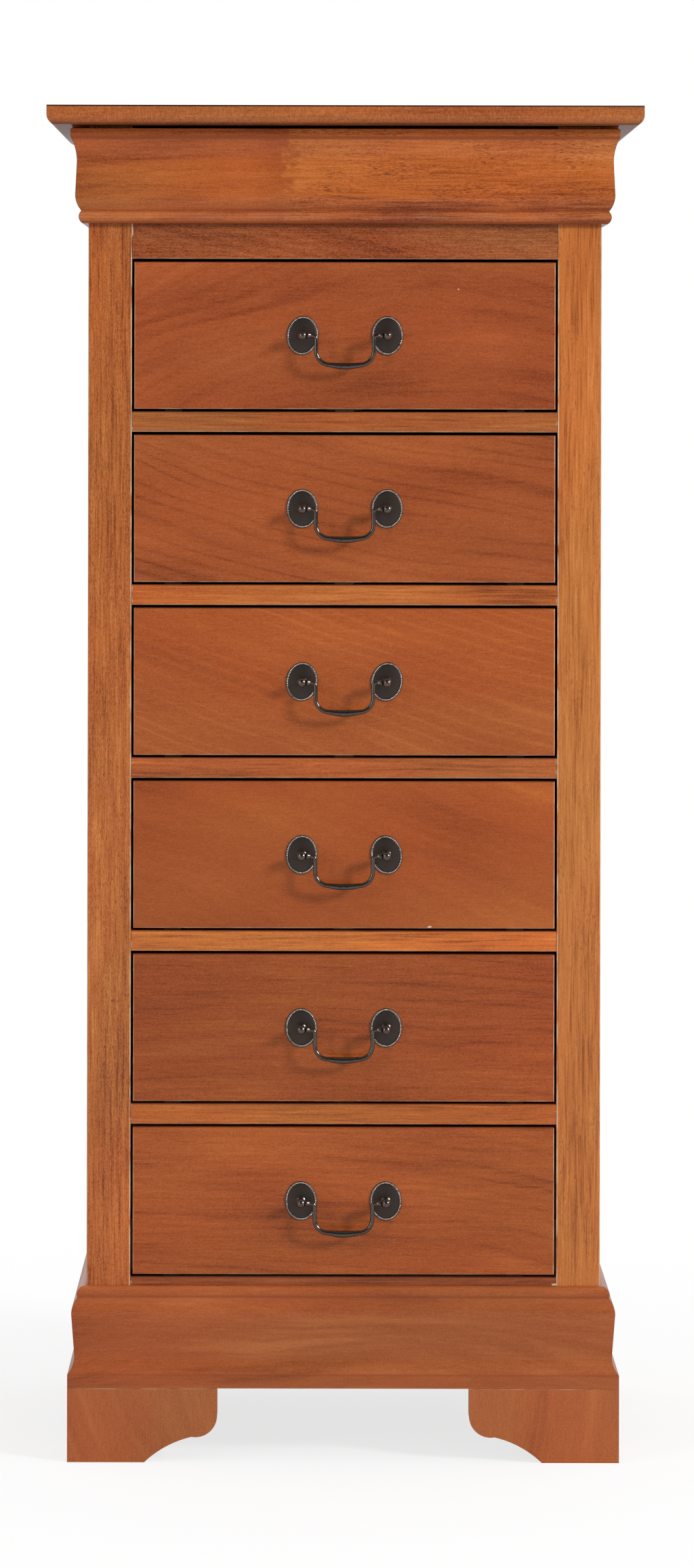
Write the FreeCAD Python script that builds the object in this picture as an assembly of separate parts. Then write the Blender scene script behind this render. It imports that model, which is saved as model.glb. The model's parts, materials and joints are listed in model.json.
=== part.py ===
import FreeCAD, Part
import math
import os

# A tall narrow chest of drawers. Six drawers with bail pulls stand under a moulded cornice, and the
# cornice is itself the front of a seventh, hidden drawer. Sizes are in millimetres. +Z is up, the front
# faces -Y, and the origin lies on the floor at the middle of the top's width and depth.

V = FreeCAD.Vector

# Case
CASE_WIDTH = 484.0
CASE_DEPTH = 368.0
STILE_WIDTH = 41.0
STILE_THICK = 20.0
SIDE_THICK = 16.0
BACK_THICK = 5.0
BACK_LAP = 8.0
EDGE_EASE = 0.8

# Top board
TOP_THICK = 18.0
TOP_OVERHANG = 38.0
TOP_ROUND_IN = 6.0
TOP_ROUND_UP = 9.0

# Drawer openings and the rails between them
DRAWERS = 6
OPENING_HEIGHT = 144.3
DIVIDER_HEIGHT = 19.0
TOP_RAIL_HEIGHT = 44.2
BOTTOM_RAIL_HEIGHT = 40.0
BOTTOM_RAIL_SHOWS = 8.0
RAIL_DEPTH = 45.0
REAR_RAIL_HEIGHT = 19.0
REAR_RAIL_DEPTH = 20.0
TENON_LENGTH = 12.0
TENON_THICK = 8.0
TENON_SHOULDER = 4.0

# Drawer runners: a centre guide, and a glide pad under each drawer side
GUIDE_WIDTH = 18.0
GUIDE_HEIGHT = 8.0
PAD_WIDTH = 16.0
PAD_LENGTH = 34.0
PAD_THICK = 2.4
PAD_SETBACK = 4.0
CHANNEL_WALL = 7.0
CHANNEL_WEB = 3.0
CHANNEL_LIFT = 1.5

# Drawers
FRONT_THICK = 18.0
DRAWER_SIDE_THICK = 14.0
DRAWER_SIDE_TOP_ROOM = 24.0
DRAWER_SIDE_INSET = 30.0
DRAWER_BACK_THICK = 12.0
DRAWER_BACK_INSET = 8.0
DRAWER_REAR_ROOM = 14.0
PANEL_THICK = 4.0
GROOVE_DEPTH = 5.0
HOUSING_DEPTH = 5.0
DOVETAIL_DEPTH = 9.0
DOVETAIL_NECK = 8.0
DOVETAIL_END = 11.0

# Clearances
SLIDE_GAP = 0.2
GUIDE_GAP = 0.5
FRONT_SIDE_GAP = 2.4
FRONT_TOP_GAP = 2.9
CLOSED_GAP = 0.4
MITRE_GAP = 0.4
CORNICE_TOP_GAP = 3.0
SAME_PLANE = 0.01

# Cornice: how far it stands out from the case, and how far up from its lower edge or down from its upper one
CORNICE_HEIGHT = 89.0
CORNICE_RAIL_LAP = 11.0
CORNICE_BEAD_FOOT = 5.6
CORNICE_BEAD_OUT = 9.0
CORNICE_BEAD_UP = 5.8
CORNICE_QUIRK_OUT = 6.6
CORNICE_QUIRK_UP = 11.8
CORNICE_BELLY_OUT = 12.2
CORNICE_BELLY_UP = 27.0
CORNICE_NECK_OUT = 10.7
CORNICE_NECK_DOWN = 31.0
CORNICE_FILLET_OUT = 16.6
CORNICE_FILLET_DOWN = 7.5
CORNICE_LAND_SETBACK = 1.8

# Base moulding, measured in the same way
BASE_HEIGHT = 94.0
BASE_FILLET_OUT = 17.4
BASE_FILLET_UP = 12.8
BASE_NECK_OUT = 11.0
BASE_NECK_UP = 29.0
BASE_BELLY_OUT = 13.9
BASE_BELLY_DOWN = 25.0
BASE_QUIRK_OUT = 8.3
BASE_QUIRK_DOWN = 10.0
BASE_BEAD_OUT = 9.0
BASE_BEAD_DOWN = 7.0

# Bracket feet: the outline runs inwards from the outer corner
FOOT_HEIGHT = 69.5
FOOT_THICK = 20.0
FOOT_LENGTH = 141.0
FOOT_TOE = 72.5
FOOT_SHOULDER_UP = 44.0
FOOT_STEP_IN = 24.0
FOOT_STEP_DOWN = 20.0
FOOT_HOLLOW = 3.4
FOOT_BLOCK = 46.0
FOOT_BLOCK_CLEAR = 5.0
REAR_FOOT_LENGTH = 90.0
REAR_FOOT_TOE = 60.0

# Pulls
PULL_PITCH = 80.0
ROSETTE_WIDTH = 30.0
ROSETTE_HEIGHT = 37.0
ROSETTE_THICK = 1.4
ROSETTE_RIM = 1.7
ROSETTE_RIM_RISE = 1.0
ROSETTE_RIM_ROUND = 0.6
POST_STAND_OFF = 16.0
BALL_RADIUS = 4.7
NECK_RADIUS = 2.7
FLANGE_RADIUS = 4.8
FLANGE_THICK = 1.2
SHANK_RADIUS = 2.0
SHANK_GAP = 0.3
SHANK_END = 1.5
NUT_ACROSS = 8.0
NUT_THICK = 3.5
NUT_GAP = 0.1
PIN_RADIUS = 1.5
PIN_GAP = 0.05
PIN_END_GAP = 0.4
BAIL_RADIUS = 2.1
BAIL_GRIP_RADIUS = 3.0
BAIL_DROP = 27.7
BAIL_CORNER = 13.0
BAIL_ELBOW = 3.3
COLLAR_RADIUS = 3.75
COLLAR_LENGTH = 4.5
COLLAR_GAP = 0.35

# Flat sides and bends that stand for the round of the small hardware
HARDWARE_SIDES = 8
ROSETTE_SIDES = 20
NUT_SIDES = 6
SOCKET_SIDES = 12
GRIP_RUNS = 2
BALL_BANDS = 3
BALL_FLAT_RADIUS = 1.5
ELBOW_BENDS = 3
CORNER_BENDS = 4

# Planes and levels worked out from those sizes
HALF = CASE_WIDTH / 2
OPENING_HALF = HALF - STILE_WIDTH
BACK_Y = (CASE_DEPTH + TOP_OVERHANG) / 2
FRONT_Y = BACK_Y - CASE_DEPTH
BACK_PANEL_Y = BACK_Y - BACK_THICK
DRAWER_INNER_Y = FRONT_Y + FRONT_THICK
DRAWER_REAR_Y = BACK_PANEL_Y - DRAWER_REAR_ROOM
BASE_TOP = FOOT_HEIGHT + BASE_HEIGHT
LOWEST_SHELF = BASE_TOP + BOTTOM_RAIL_SHOWS
PITCH = OPENING_HEIGHT + DIVIDER_HEIGHT
TOP_RAIL_BOTTOM = LOWEST_SHELF + DRAWERS * PITCH - DIVIDER_HEIGHT
HIDDEN_SHELF = TOP_RAIL_BOTTOM + TOP_RAIL_HEIGHT
CORNICE_BOTTOM = HIDDEN_SHELF - CORNICE_RAIL_LAP
CORNICE_TOP = CORNICE_BOTTOM + CORNICE_HEIGHT
TOP_UNDERSIDE = CORNICE_TOP + CORNICE_TOP_GAP
DRAWER_LIFT = PAD_THICK + SLIDE_GAP
FRONT_HALF = OPENING_HALF - FRONT_SIDE_GAP
SIDE_OUTER = FRONT_HALF - DRAWER_SIDE_INSET
SIDE_INNER = SIDE_OUTER - DRAWER_SIDE_THICK
PANEL_LIFT = GUIDE_HEIGHT + SLIDE_GAP + CHANNEL_WEB
PIVOT_Y = FRONT_Y - POST_STAND_OFF
CORNICE_REAR_Y = FRONT_Y - CLOSED_GAP


def shelf(number):
    """Top of the rail under a drawer, counted from 1 at the top; 0 is the hidden drawer."""
    if number == 0:
        return HIDDEN_SHELF
    return LOWEST_SHELF + (DRAWERS - number) * PITCH


def side_top(number):
    """Top of a drawer's sides, which stay clear of the rail or the top board above them."""
    ceiling = TOP_UNDERSIDE if number == 0 else shelf(number) + OPENING_HEIGHT
    return ceiling - DRAWER_SIDE_TOP_ROOM


def drawer_side_middle(side):
    """Middle of a drawer side's thickness."""
    return side * (SIDE_OUTER + SIDE_INNER) / 2


def block(x, y, z):
    """Box between a low and a high value on each axis, given in either order."""
    low = [min(pair) for pair in (x, y, z)]
    size = [abs(pair[1] - pair[0]) for pair in (x, y, z)]
    return Part.makeBox(size[0], size[1], size[2], V(*low))


def outline(place, start, *steps):
    """Flat face whose steps are straight to one point, or round through one point to the next."""
    edges = []
    here = start
    for step in steps + ((start,),):
        if len(step) == 1:
            edges.append(Part.LineSegment(place(*here), place(*step[0])).toShape())
        else:
            edges.append(Part.Arc(place(*here), place(*step[0]), place(*step[1])).toShape())
        here = step[-1]
    return Part.Face(Part.Wire(edges))


def upright_arc_middle(upright, other):
    """Middle point of the arc that is upright where it leaves the first point."""
    across = other[0] - upright[0]
    rise = other[1] - upright[1]
    radius = (across ** 2 + rise ** 2) / (2 * abs(across))
    half_turn = math.atan2(abs(rise), radius - abs(across)) / 2
    out = math.copysign(radius * (1 - math.cos(half_turn)), across)
    up = math.copysign(radius * math.sin(half_turn), rise)
    return (upright[0] + out, upright[1] + up)


def arc_middle(start, end, depth):
    """Middle point of the arc that stands off the left of its chord by a depth."""
    across = end[0] - start[0]
    rise = end[1] - start[1]
    share = depth / math.hypot(across, rise)
    return ((start[0] + end[0]) / 2 - rise * share, (start[1] + end[1]) / 2 + across * share)


def prism(points, bottom, top):
    """Upright prism on a plan of straight sides."""
    corners = [V(x, y, bottom) for x, y in points]
    plan = Part.Face(Part.makePolygon(corners + corners[:1]))
    return plan.extrude(V(0, 0, top - bottom))


def eased(shape, is_sharp):
    """Break the edges whose two ends pass a test."""
    edges = [edge for edge in shape.Edges if is_sharp(edge.Vertexes[0].Point, edge.Vertexes[-1].Point)]
    return shape.makeChamfer(EDGE_EASE, edges)


def on_plane(axis, value, *points):
    """Whether every point lies on a plane across an axis."""
    return all(abs(getattr(point, axis) - value) < SAME_PLANE for point in points)


def ring(middle, across, up, sides):
    """Corners of a polygon round a point, with its two half-widths given as vectors."""
    points = []
    for corner in range(sides):
        angle = 2 * math.pi * (corner + 0.5) / sides
        points.append(middle + across * math.cos(angle) + up * math.sin(angle))
    return points


def polygon(points):
    """Flat face with straight sides."""
    return Part.Face(Part.makePolygon(points + points[:1]))


def faceted(rings):
    """Solid through a row of rings, with a flat face between each two sides and one at each end."""
    faces = [polygon(rings[0]), polygon(rings[-1])]
    for ring_a, ring_b in zip(rings, rings[1:]):
        for corner in range(len(ring_a)):
            faces.append(polygon([ring_a[corner - 1], ring_a[corner], ring_b[corner], ring_b[corner - 1]]))
    return Part.Solid(Part.Shell(faces))


def turned(axis, profile):
    """Small turned piece along -Y, through polygons of a radius at a distance out."""
    rings = []
    for radius, out in profile:
        rings.append(ring(axis - V(0, out, 0), V(radius, 0, 0), V(0, 0, radius), HARDWARE_SIDES))
    return faceted(rings)


def tenon(side, bottom, top):
    """Tenon at one end of a front rail, which is also the shape of its mortise."""
    middle = FRONT_Y + STILE_THICK / 2
    return block((side * OPENING_HALF, side * (OPENING_HALF + TENON_LENGTH)),
                 (middle - TENON_THICK / 2, middle + TENON_THICK / 2),
                 (bottom + TENON_SHOULDER, top - TENON_SHOULDER))


def front_rail_levels():
    """Bottom and top of every front rail, from the bottom one to the top one."""
    levels = [(LOWEST_SHELF - BOTTOM_RAIL_HEIGHT, LOWEST_SHELF)]
    for number in range(DRAWERS - 1, 0, -1):
        levels.append((shelf(number) - DIVIDER_HEIGHT, shelf(number)))
    levels.append((TOP_RAIL_BOTTOM, HIDDEN_SHELF))
    return levels


def front_rail(bottom, top):
    """Rail flush with the stiles, with eased front edges and a tenon at each end."""
    bar = block((-OPENING_HALF, OPENING_HALF), (FRONT_Y, FRONT_Y + RAIL_DEPTH), (bottom, top))
    bar = eased(bar, lambda a, b: on_plane("y", FRONT_Y, a, b) and on_plane("z", a.z, b))
    return bar.fuse([tenon(side, bottom, top) for side in (-1, 1)]).Solids[0]


def stile(side):
    """Corner post of the front frame, mortised for the rails."""
    post = block((side * OPENING_HALF, side * HALF), (FRONT_Y, FRONT_Y + STILE_THICK),
                 (FOOT_HEIGHT, TOP_UNDERSIDE))
    post = eased(post, lambda a, b: on_plane("y", FRONT_Y, a, b) and on_plane("x", side * HALF, a, b))
    return post.cut([tenon(side, *level) for level in front_rail_levels()]).Solids[0]


def side_panel(side):
    """Side of the case, rebated at its rear edge for the back panel."""
    panel = block((side * (HALF - SIDE_THICK), side * HALF), (FRONT_Y + STILE_THICK, BACK_Y),
                  (FOOT_HEIGHT, TOP_UNDERSIDE))
    rebate = block((side * (HALF - SIDE_THICK), side * (HALF - SIDE_THICK + BACK_LAP)),
                   (BACK_PANEL_Y, BACK_Y), (FOOT_HEIGHT, TOP_UNDERSIDE))
    return panel.cut(rebate)


def back_panel():
    """Thin board let into the sides."""
    reach = HALF - SIDE_THICK + BACK_LAP
    return block((-reach, reach), (BACK_PANEL_Y, BACK_Y), (FOOT_HEIGHT, TOP_UNDERSIDE))


def rear_rail(number):
    """Rail in front of the back panel, level with the front rail of the same drawer."""
    reach = HALF - SIDE_THICK
    return block((-reach, reach), (BACK_PANEL_Y - REAR_RAIL_DEPTH, BACK_PANEL_Y),
                 (shelf(number) - REAR_RAIL_HEIGHT, shelf(number)))


def centre_guide(number):
    """Strip from the front rail to the rear rail, which steers and carries the drawer."""
    return block((-GUIDE_WIDTH / 2, GUIDE_WIDTH / 2), (DRAWER_INNER_Y + CLOSED_GAP, BACK_PANEL_Y),
                 (shelf(number), shelf(number) + GUIDE_HEIGHT))


def glide_pad(number, side):
    """Pad on the front rail, under one drawer side."""
    middle = drawer_side_middle(side)
    return block((middle - PAD_WIDTH / 2, middle + PAD_WIDTH / 2),
                 (FRONT_Y + PAD_SETBACK, FRONT_Y + PAD_SETBACK + PAD_LENGTH),
                 (shelf(number), shelf(number) + PAD_THICK))


def top_panel():
    """Top board, with a rounded lower edge at the front and the sides."""
    half = HALF + TOP_OVERHANG
    front = FRONT_Y - TOP_OVERHANG
    top = TOP_UNDERSIDE + TOP_THICK
    round_top = TOP_UNDERSIDE + TOP_ROUND_UP
    bend = upright_arc_middle((0, round_top), (-TOP_ROUND_IN, TOP_UNDERSIDE))
    across = outline(lambda x, z: V(x, front, z), (half, top), ((half, round_top),),
                     ((half + bend[0], bend[1]), (half - TOP_ROUND_IN, TOP_UNDERSIDE)),
                     ((TOP_ROUND_IN - half, TOP_UNDERSIDE),),
                     ((-half - bend[0], bend[1]), (-half, round_top)), ((-half, top),))
    along = outline(lambda y, z: V(-half, y, z), (front, top), ((front, round_top),),
                    ((front - bend[0], bend[1]), (front + TOP_ROUND_IN, TOP_UNDERSIDE)),
                    ((BACK_Y, TOP_UNDERSIDE),), ((BACK_Y, top),))
    return across.extrude(V(0, BACK_Y - front, 0)).common(along.extrude(V(2 * half, 0, 0))).Solids[0]


def cornice_section(place, land):
    """Bead, ogee and fillet; land is the height of the set-back strip that meets the top board."""
    belly = (CORNICE_BELLY_OUT, CORNICE_BELLY_UP)
    quirk = (CORNICE_QUIRK_OUT, CORNICE_QUIRK_UP)
    neck = (CORNICE_NECK_OUT, CORNICE_HEIGHT - CORNICE_NECK_DOWN)
    fillet = (CORNICE_FILLET_OUT, CORNICE_HEIGHT - CORNICE_FILLET_DOWN)
    head = (((CORNICE_FILLET_OUT, CORNICE_HEIGHT),), ((0, CORNICE_HEIGHT),))
    if land:
        land_out = CORNICE_FILLET_OUT - CORNICE_LAND_SETBACK
        head = (head[0], ((land_out, CORNICE_HEIGHT),), ((land_out, CORNICE_HEIGHT + land),),
                ((0, CORNICE_HEIGHT + land),))
    return outline(place, (0, 0), ((CORNICE_BEAD_FOOT, 0),),
                   ((CORNICE_BEAD_OUT, CORNICE_BEAD_UP), quirk),
                   (upright_arc_middle(belly, quirk), belly), (neck,),
                   (upright_arc_middle(neck, fillet), fillet), *head)


def base_section(place):
    """Square fillet, ogee and bead, from the bottom up."""
    fillet = (BASE_FILLET_OUT, BASE_FILLET_UP)
    neck = (BASE_NECK_OUT, BASE_NECK_UP)
    belly = (BASE_BELLY_OUT, BASE_HEIGHT - BASE_BELLY_DOWN)
    quirk = (BASE_QUIRK_OUT, BASE_HEIGHT - BASE_QUIRK_DOWN)
    bead = (BASE_BEAD_OUT, BASE_HEIGHT - BASE_BEAD_DOWN)
    crown = (0, BASE_HEIGHT)
    return outline(place, (0, 0), ((BASE_FILLET_OUT, 0),), (fillet,),
                   (upright_arc_middle(neck, fillet), neck), (belly,),
                   (upright_arc_middle(belly, quirk), quirk), (bead,),
                   (upright_arc_middle(bead, crown), crown))


def front_moulding(section, reach, rear_y, corner, bottom, height):
    """Moulding across the front, mitred outwards from the points (-corner, rear_y), (corner, rear_y)."""
    far = corner + reach
    face = section(lambda out, up: V(-far, rear_y - out, bottom + up))
    plan = [(-corner, rear_y), (corner, rear_y), (far, rear_y - reach), (-far, rear_y - reach)]
    return face.extrude(V(2 * far, 0, 0)).common(prism(plan, bottom, bottom + height)).Solids[0]


def side_moulding(section, reach, side, bottom, height):
    """Moulding along one side, mitred at the front corner and square at the back."""
    front = FRONT_Y - reach
    face = section(lambda out, up: V(side * (HALF + out), front, bottom + up))
    plan = [(side * HALF, FRONT_Y), (side * (HALF + reach), front),
            (side * (HALF + reach), BACK_Y), (side * HALF, BACK_Y)]
    return face.extrude(V(0, BACK_Y - front, 0)).common(prism(plan, bottom, bottom + height)).Solids[0]


def side_cornice(side):
    """Fixed cornice along one side, with the strip that closes the gap under the top."""
    return side_moulding(lambda place: cornice_section(place, CORNICE_TOP_GAP), CORNICE_FILLET_OUT, side,
                         CORNICE_BOTTOM, CORNICE_HEIGHT + CORNICE_TOP_GAP)


def cornice_front():
    """Cornice across the front, which is the face of the hidden drawer."""
    corner = HALF + CLOSED_GAP - MITRE_GAP * math.sqrt(2)
    return front_moulding(lambda place: cornice_section(place, 0), CORNICE_FILLET_OUT, CORNICE_REAR_Y,
                          corner, CORNICE_BOTTOM, CORNICE_HEIGHT)


def base_front():
    """Base moulding across the front."""
    return front_moulding(base_section, BASE_FILLET_OUT, FRONT_Y, HALF, FOOT_HEIGHT, BASE_HEIGHT)


def base_side(side):
    """Base moulding along one side."""
    return side_moulding(base_section, BASE_FILLET_OUT, side, FOOT_HEIGHT, BASE_HEIGHT)


def bracket_outline(place):
    """Scrolled bracket: a square shoulder, a round step and a hollow that ends at the toe."""
    shoulder = (FOOT_LENGTH, FOOT_SHOULDER_UP)
    step = (FOOT_LENGTH - FOOT_STEP_IN, FOOT_SHOULDER_UP - FOOT_STEP_DOWN)
    toe = (FOOT_TOE, 0)
    hollow = arc_middle(toe, step, FOOT_HOLLOW)
    return outline(place, (0, 0), (toe,), (hollow, step), (upright_arc_middle(shoulder, step), shoulder),
                   ((FOOT_LENGTH, FOOT_HEIGHT),), ((0, FOOT_HEIGHT),))


def foot_block(side, corner_y, inwards):
    """Glue block in the corner of a foot, a little clear of the floor."""
    x = HALF + BASE_FILLET_OUT - FOOT_THICK
    y = corner_y + inwards * FOOT_THICK
    far_y = y + inwards * FOOT_BLOCK
    plan = [(side * x, y), (side * (x - FOOT_BLOCK), y), (side * (x - FOOT_BLOCK), (y + far_y) / 2),
            (side * (x - FOOT_BLOCK / 2), far_y), (side * x, far_y)]
    return prism(plan, FOOT_BLOCK_CLEAR, FOOT_HEIGHT)


def front_foot(side):
    """Two scrolled brackets mitred at the corner, and their glue block."""
    x = HALF + BASE_FILLET_OUT
    y = FRONT_Y - BASE_FILLET_OUT
    inner_x = x - FOOT_THICK
    inner_y = y + FOOT_THICK
    front_face = bracket_outline(lambda along, up: V(side * (x - along), y, up))
    side_face = bracket_outline(lambda along, up: V(side * x, y + along, up))
    front_plan = [(side * x, y), (side * (x - FOOT_LENGTH), y), (side * (x - FOOT_LENGTH), inner_y),
                  (side * inner_x, inner_y)]
    side_plan = [(side * x, y), (side * x, y + FOOT_LENGTH), (side * inner_x, y + FOOT_LENGTH),
                 (side * inner_x, inner_y)]
    front = front_face.extrude(V(0, FOOT_THICK, 0)).common(prism(front_plan, 0, FOOT_HEIGHT))
    flank = side_face.extrude(V(-side * FOOT_THICK, 0, 0)).common(prism(side_plan, 0, FOOT_HEIGHT))
    return [front.Solids[0], flank.Solids[0], foot_block(side, y, 1)]


def rear_foot(side):
    """A scrolled bracket along the side, a plain one butted behind it, and their glue block."""
    x = HALF + BASE_FILLET_OUT
    inner_x = x - FOOT_THICK
    side_face = bracket_outline(lambda along, up: V(side * x, BACK_Y - along, up))
    rear_face = outline(lambda along, up: V(side * (inner_x - along), BACK_Y, up), (0, 0),
                        ((REAR_FOOT_TOE, 0),), ((REAR_FOOT_LENGTH, FOOT_HEIGHT),), ((0, FOOT_HEIGHT),))
    return [side_face.extrude(V(-side * FOOT_THICK, 0, 0)), rear_face.extrude(V(0, -FOOT_THICK, 0)),
            foot_block(side, BACK_Y, -1)]


def dovetail(side, bottom, top):
    """Sliding dovetail on the front end of a drawer side, which is also the shape of its slot."""
    x = drawer_side_middle(side)
    y = DRAWER_INNER_Y
    plan = [(x - DOVETAIL_NECK / 2, y), (x - DOVETAIL_END / 2, y - DOVETAIL_DEPTH),
            (x + DOVETAIL_END / 2, y - DOVETAIL_DEPTH), (x + DOVETAIL_NECK / 2, y)]
    return prism(plan, bottom, top)


def bottom_panel(number):
    """Drawer bottom, let into the front and the sides and slid in under the back."""
    reach = SIDE_INNER + GROOVE_DEPTH
    level = shelf(number) + PANEL_LIFT
    return block((-reach, reach), (DRAWER_INNER_Y - GROOVE_DEPTH, DRAWER_REAR_Y - DRAWER_BACK_INSET),
                 (level, level + PANEL_THICK))


def guide_channel(number):
    """Grooved runner under the drawer bottom, which straddles the centre guide."""
    inner = GUIDE_WIDTH / 2 + GUIDE_GAP
    outer = inner + CHANNEL_WALL
    low = shelf(number) + CHANNEL_LIFT
    ceiling = shelf(number) + GUIDE_HEIGHT + SLIDE_GAP
    high = ceiling + CHANNEL_WEB
    face = outline(lambda x, z: V(x, DRAWER_INNER_Y, z), (-outer, low), ((-inner, low),),
                   ((-inner, ceiling),), ((inner, ceiling),), ((inner, low),), ((outer, low),),
                   ((outer, high),), ((-outer, high),))
    return face.extrude(V(0, DRAWER_REAR_Y - DRAWER_BACK_INSET - DRAWER_INNER_Y, 0))


def drawer_back(number):
    """Drawer back, housed in the sides and standing on the bottom panel."""
    reach = SIDE_INNER + HOUSING_DEPTH
    rear = DRAWER_REAR_Y - DRAWER_BACK_INSET
    return block((-reach, reach), (rear - DRAWER_BACK_THICK, rear),
                 (shelf(number) + PANEL_LIFT + PANEL_THICK, side_top(number)))


def drawer_side(number, side):
    """Drawer side with its dovetail, and with the grooves for the bottom and the back."""
    bottom = shelf(number) + DRAWER_LIFT
    top = side_top(number)
    board = block((side * SIDE_INNER, side * SIDE_OUTER), (DRAWER_INNER_Y, DRAWER_REAR_Y), (bottom, top))
    groove = block((side * SIDE_INNER, side * (SIDE_INNER + GROOVE_DEPTH)),
                   (DRAWER_INNER_Y - GROOVE_DEPTH, DRAWER_REAR_Y),
                   (shelf(number) + PANEL_LIFT, shelf(number) + PANEL_LIFT + PANEL_THICK))
    board = board.fuse(dovetail(side, bottom, top))
    return board.cut([groove, drawer_back(number)]).Solids[0]


def drawer_box(number):
    """Two sides and a back."""
    return [drawer_side(number, -1), drawer_side(number, 1), drawer_back(number)]


def front_board(number, front_y, top):
    """Drawer front with eased edges, slotted for the sides and grooved for the bottom."""
    bottom = shelf(number) + DRAWER_LIFT
    board = block((-FRONT_HALF, FRONT_HALF), (front_y, DRAWER_INNER_Y), (bottom, top))
    board = eased(board, lambda a, b: on_plane("y", front_y, a, b))
    slots = [dovetail(side, bottom, side_top(number)) for side in (-1, 1)]
    return board.cut(slots + [bottom_panel(number)]).Solids[0]


def pull_height(number):
    """Height of a pull: the middle of its drawer front."""
    return shelf(number) + (DRAWER_LIFT + OPENING_HEIGHT - FRONT_TOP_GAP) / 2


def drawer_front(number):
    """Flush drawer front, bored for the two posts of its pull."""
    board = front_board(number, FRONT_Y, shelf(number) + OPENING_HEIGHT - FRONT_TOP_GAP)
    bore = [(SHANK_RADIUS + SHANK_GAP, -FRONT_THICK), (SHANK_RADIUS + SHANK_GAP, 0)]
    return board.cut([turned(post_axis(number, side), bore) for side in (-1, 1)]).Solids[0]


def post_axis(number, side):
    """Where the axis of a pull's post crosses the face of its drawer front."""
    return V(side * PULL_PITCH / 2, FRONT_Y, pull_height(number))


def oval(axis, out, inset):
    """Outline of a rosette at a distance out, drawn in all round by an inset."""
    across = V(ROSETTE_WIDTH / 2 - inset, 0, 0)
    up = V(0, 0, ROSETTE_HEIGHT / 2 - inset)
    return polygon(ring(axis - V(0, out, 0), across, up, ROSETTE_SIDES)).OuterWire


def rosette(number, side):
    """Oval back plate, dished inside a raised rim with a rounded edge."""
    axis = post_axis(number, side)
    rim_top = ROSETTE_THICK + ROSETTE_RIM_RISE
    plate = Part.makeLoft([oval(axis, 0, 0), oval(axis, ROSETTE_THICK, 0),
                           oval(axis, rim_top, ROSETTE_RIM_ROUND)], True, True)
    dish = Part.makeLoft([oval(axis, ROSETTE_THICK, ROSETTE_RIM), oval(axis, rim_top, ROSETTE_RIM)],
                         True, True)
    bore = turned(axis, [(SHANK_RADIUS + SHANK_GAP, 0), (SHANK_RADIUS + SHANK_GAP, ROSETTE_THICK)])
    return plate.cut([dish, bore]).Solids[0]


def post(number, side):
    """Turned post: shank through the drawer front, flange, neck, and a ball bored for the bail's pin."""
    axis = post_axis(number, side)
    shank_end = FRONT_THICK + NUT_THICK + SHANK_END
    shank = turned(axis, [(SHANK_RADIUS, -shank_end), (SHANK_RADIUS, ROSETTE_THICK)])
    flange_edge = ROSETTE_THICK + FLANGE_THICK / 2
    profile = [(FLANGE_RADIUS, ROSETTE_THICK), (FLANGE_RADIUS, flange_edge),
               (NECK_RADIUS, ROSETTE_THICK + FLANGE_THICK)]
    first = -math.acos(NECK_RADIUS / BALL_RADIUS)
    last = math.acos(BALL_FLAT_RADIUS / BALL_RADIUS)
    for band in range(BALL_BANDS + 1):
        latitude = first + (last - first) * band / BALL_BANDS
        profile.append((BALL_RADIUS * math.cos(latitude), POST_STAND_OFF + BALL_RADIUS * math.sin(latitude)))
    mouth = V(axis.x - side * 2 * BALL_RADIUS, PIVOT_Y, axis.z)
    radius = (PIN_RADIUS + PIN_GAP) / math.cos(math.pi / SOCKET_SIDES)
    opening = polygon(ring(mouth, V(0, radius, 0), V(0, 0, radius), SOCKET_SIDES))
    socket = opening.extrude(V(side * (2 * BALL_RADIUS + PIN_END_GAP), 0, 0))
    return shank.fuse(turned(axis, profile)).cut(socket).Solids[0]


def nut(number, side):
    """Hexagon nut that clamps a post from inside the drawer."""
    radius = NUT_ACROSS / 2 / math.cos(math.pi / NUT_SIDES)
    middle = post_axis(number, side) + V(0, FRONT_THICK, 0)
    face = polygon(ring(middle, V(radius, 0, 0), V(0, 0, radius), NUT_SIDES))
    body = face.extrude(V(0, NUT_THICK, 0))
    return body.cut(turned(middle, [(SHANK_RADIUS + NUT_GAP, -NUT_THICK), (SHANK_RADIUS + NUT_GAP, 0)]))


def bend_points(centre_x, centre_down, radius, first, last, bends):
    """Corners of the straight runs that wrap an arc; angles count from straight up towards +x."""
    step = (last - first) / bends
    reach = radius / math.cos(step / 2)
    points = []
    for bend in range(bends):
        angle = first + (bend + 0.5) * step
        points.append((centre_x + reach * math.sin(angle), centre_down - reach * math.cos(angle)))
    return points


def bail_path():
    """Half of a bail from its collar to the middle of the grip: distance across, drop and rod radius."""
    collar_x = PULL_PITCH / 2 - BALL_RADIUS - COLLAR_GAP
    elbow_x = collar_x - COLLAR_LENGTH
    arm_x = elbow_x - BAIL_ELBOW
    grip_x = arm_x - BAIL_CORNER
    quarter = math.pi / 2
    path = [(collar_x, 0, COLLAR_RADIUS), (elbow_x, 0, BAIL_RADIUS)]
    for x, down in bend_points(elbow_x, BAIL_ELBOW, BAIL_ELBOW, 0, -quarter, ELBOW_BENDS):
        path.append((x, down, BAIL_RADIUS))
    corner_down = BAIL_DROP - BAIL_CORNER
    for x, down in bend_points(grip_x, corner_down, BAIL_CORNER, quarter, 2 * quarter, CORNER_BENDS):
        path.append((x, down, BAIL_RADIUS))
    swell = BAIL_GRIP_RADIUS - BAIL_RADIUS
    for run in range(GRIP_RUNS, -1, -1):
        share = run / GRIP_RUNS
        path.append((grip_x * share, BAIL_DROP, BAIL_RADIUS + swell * (1 - share ** 2)))
    return path


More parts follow.
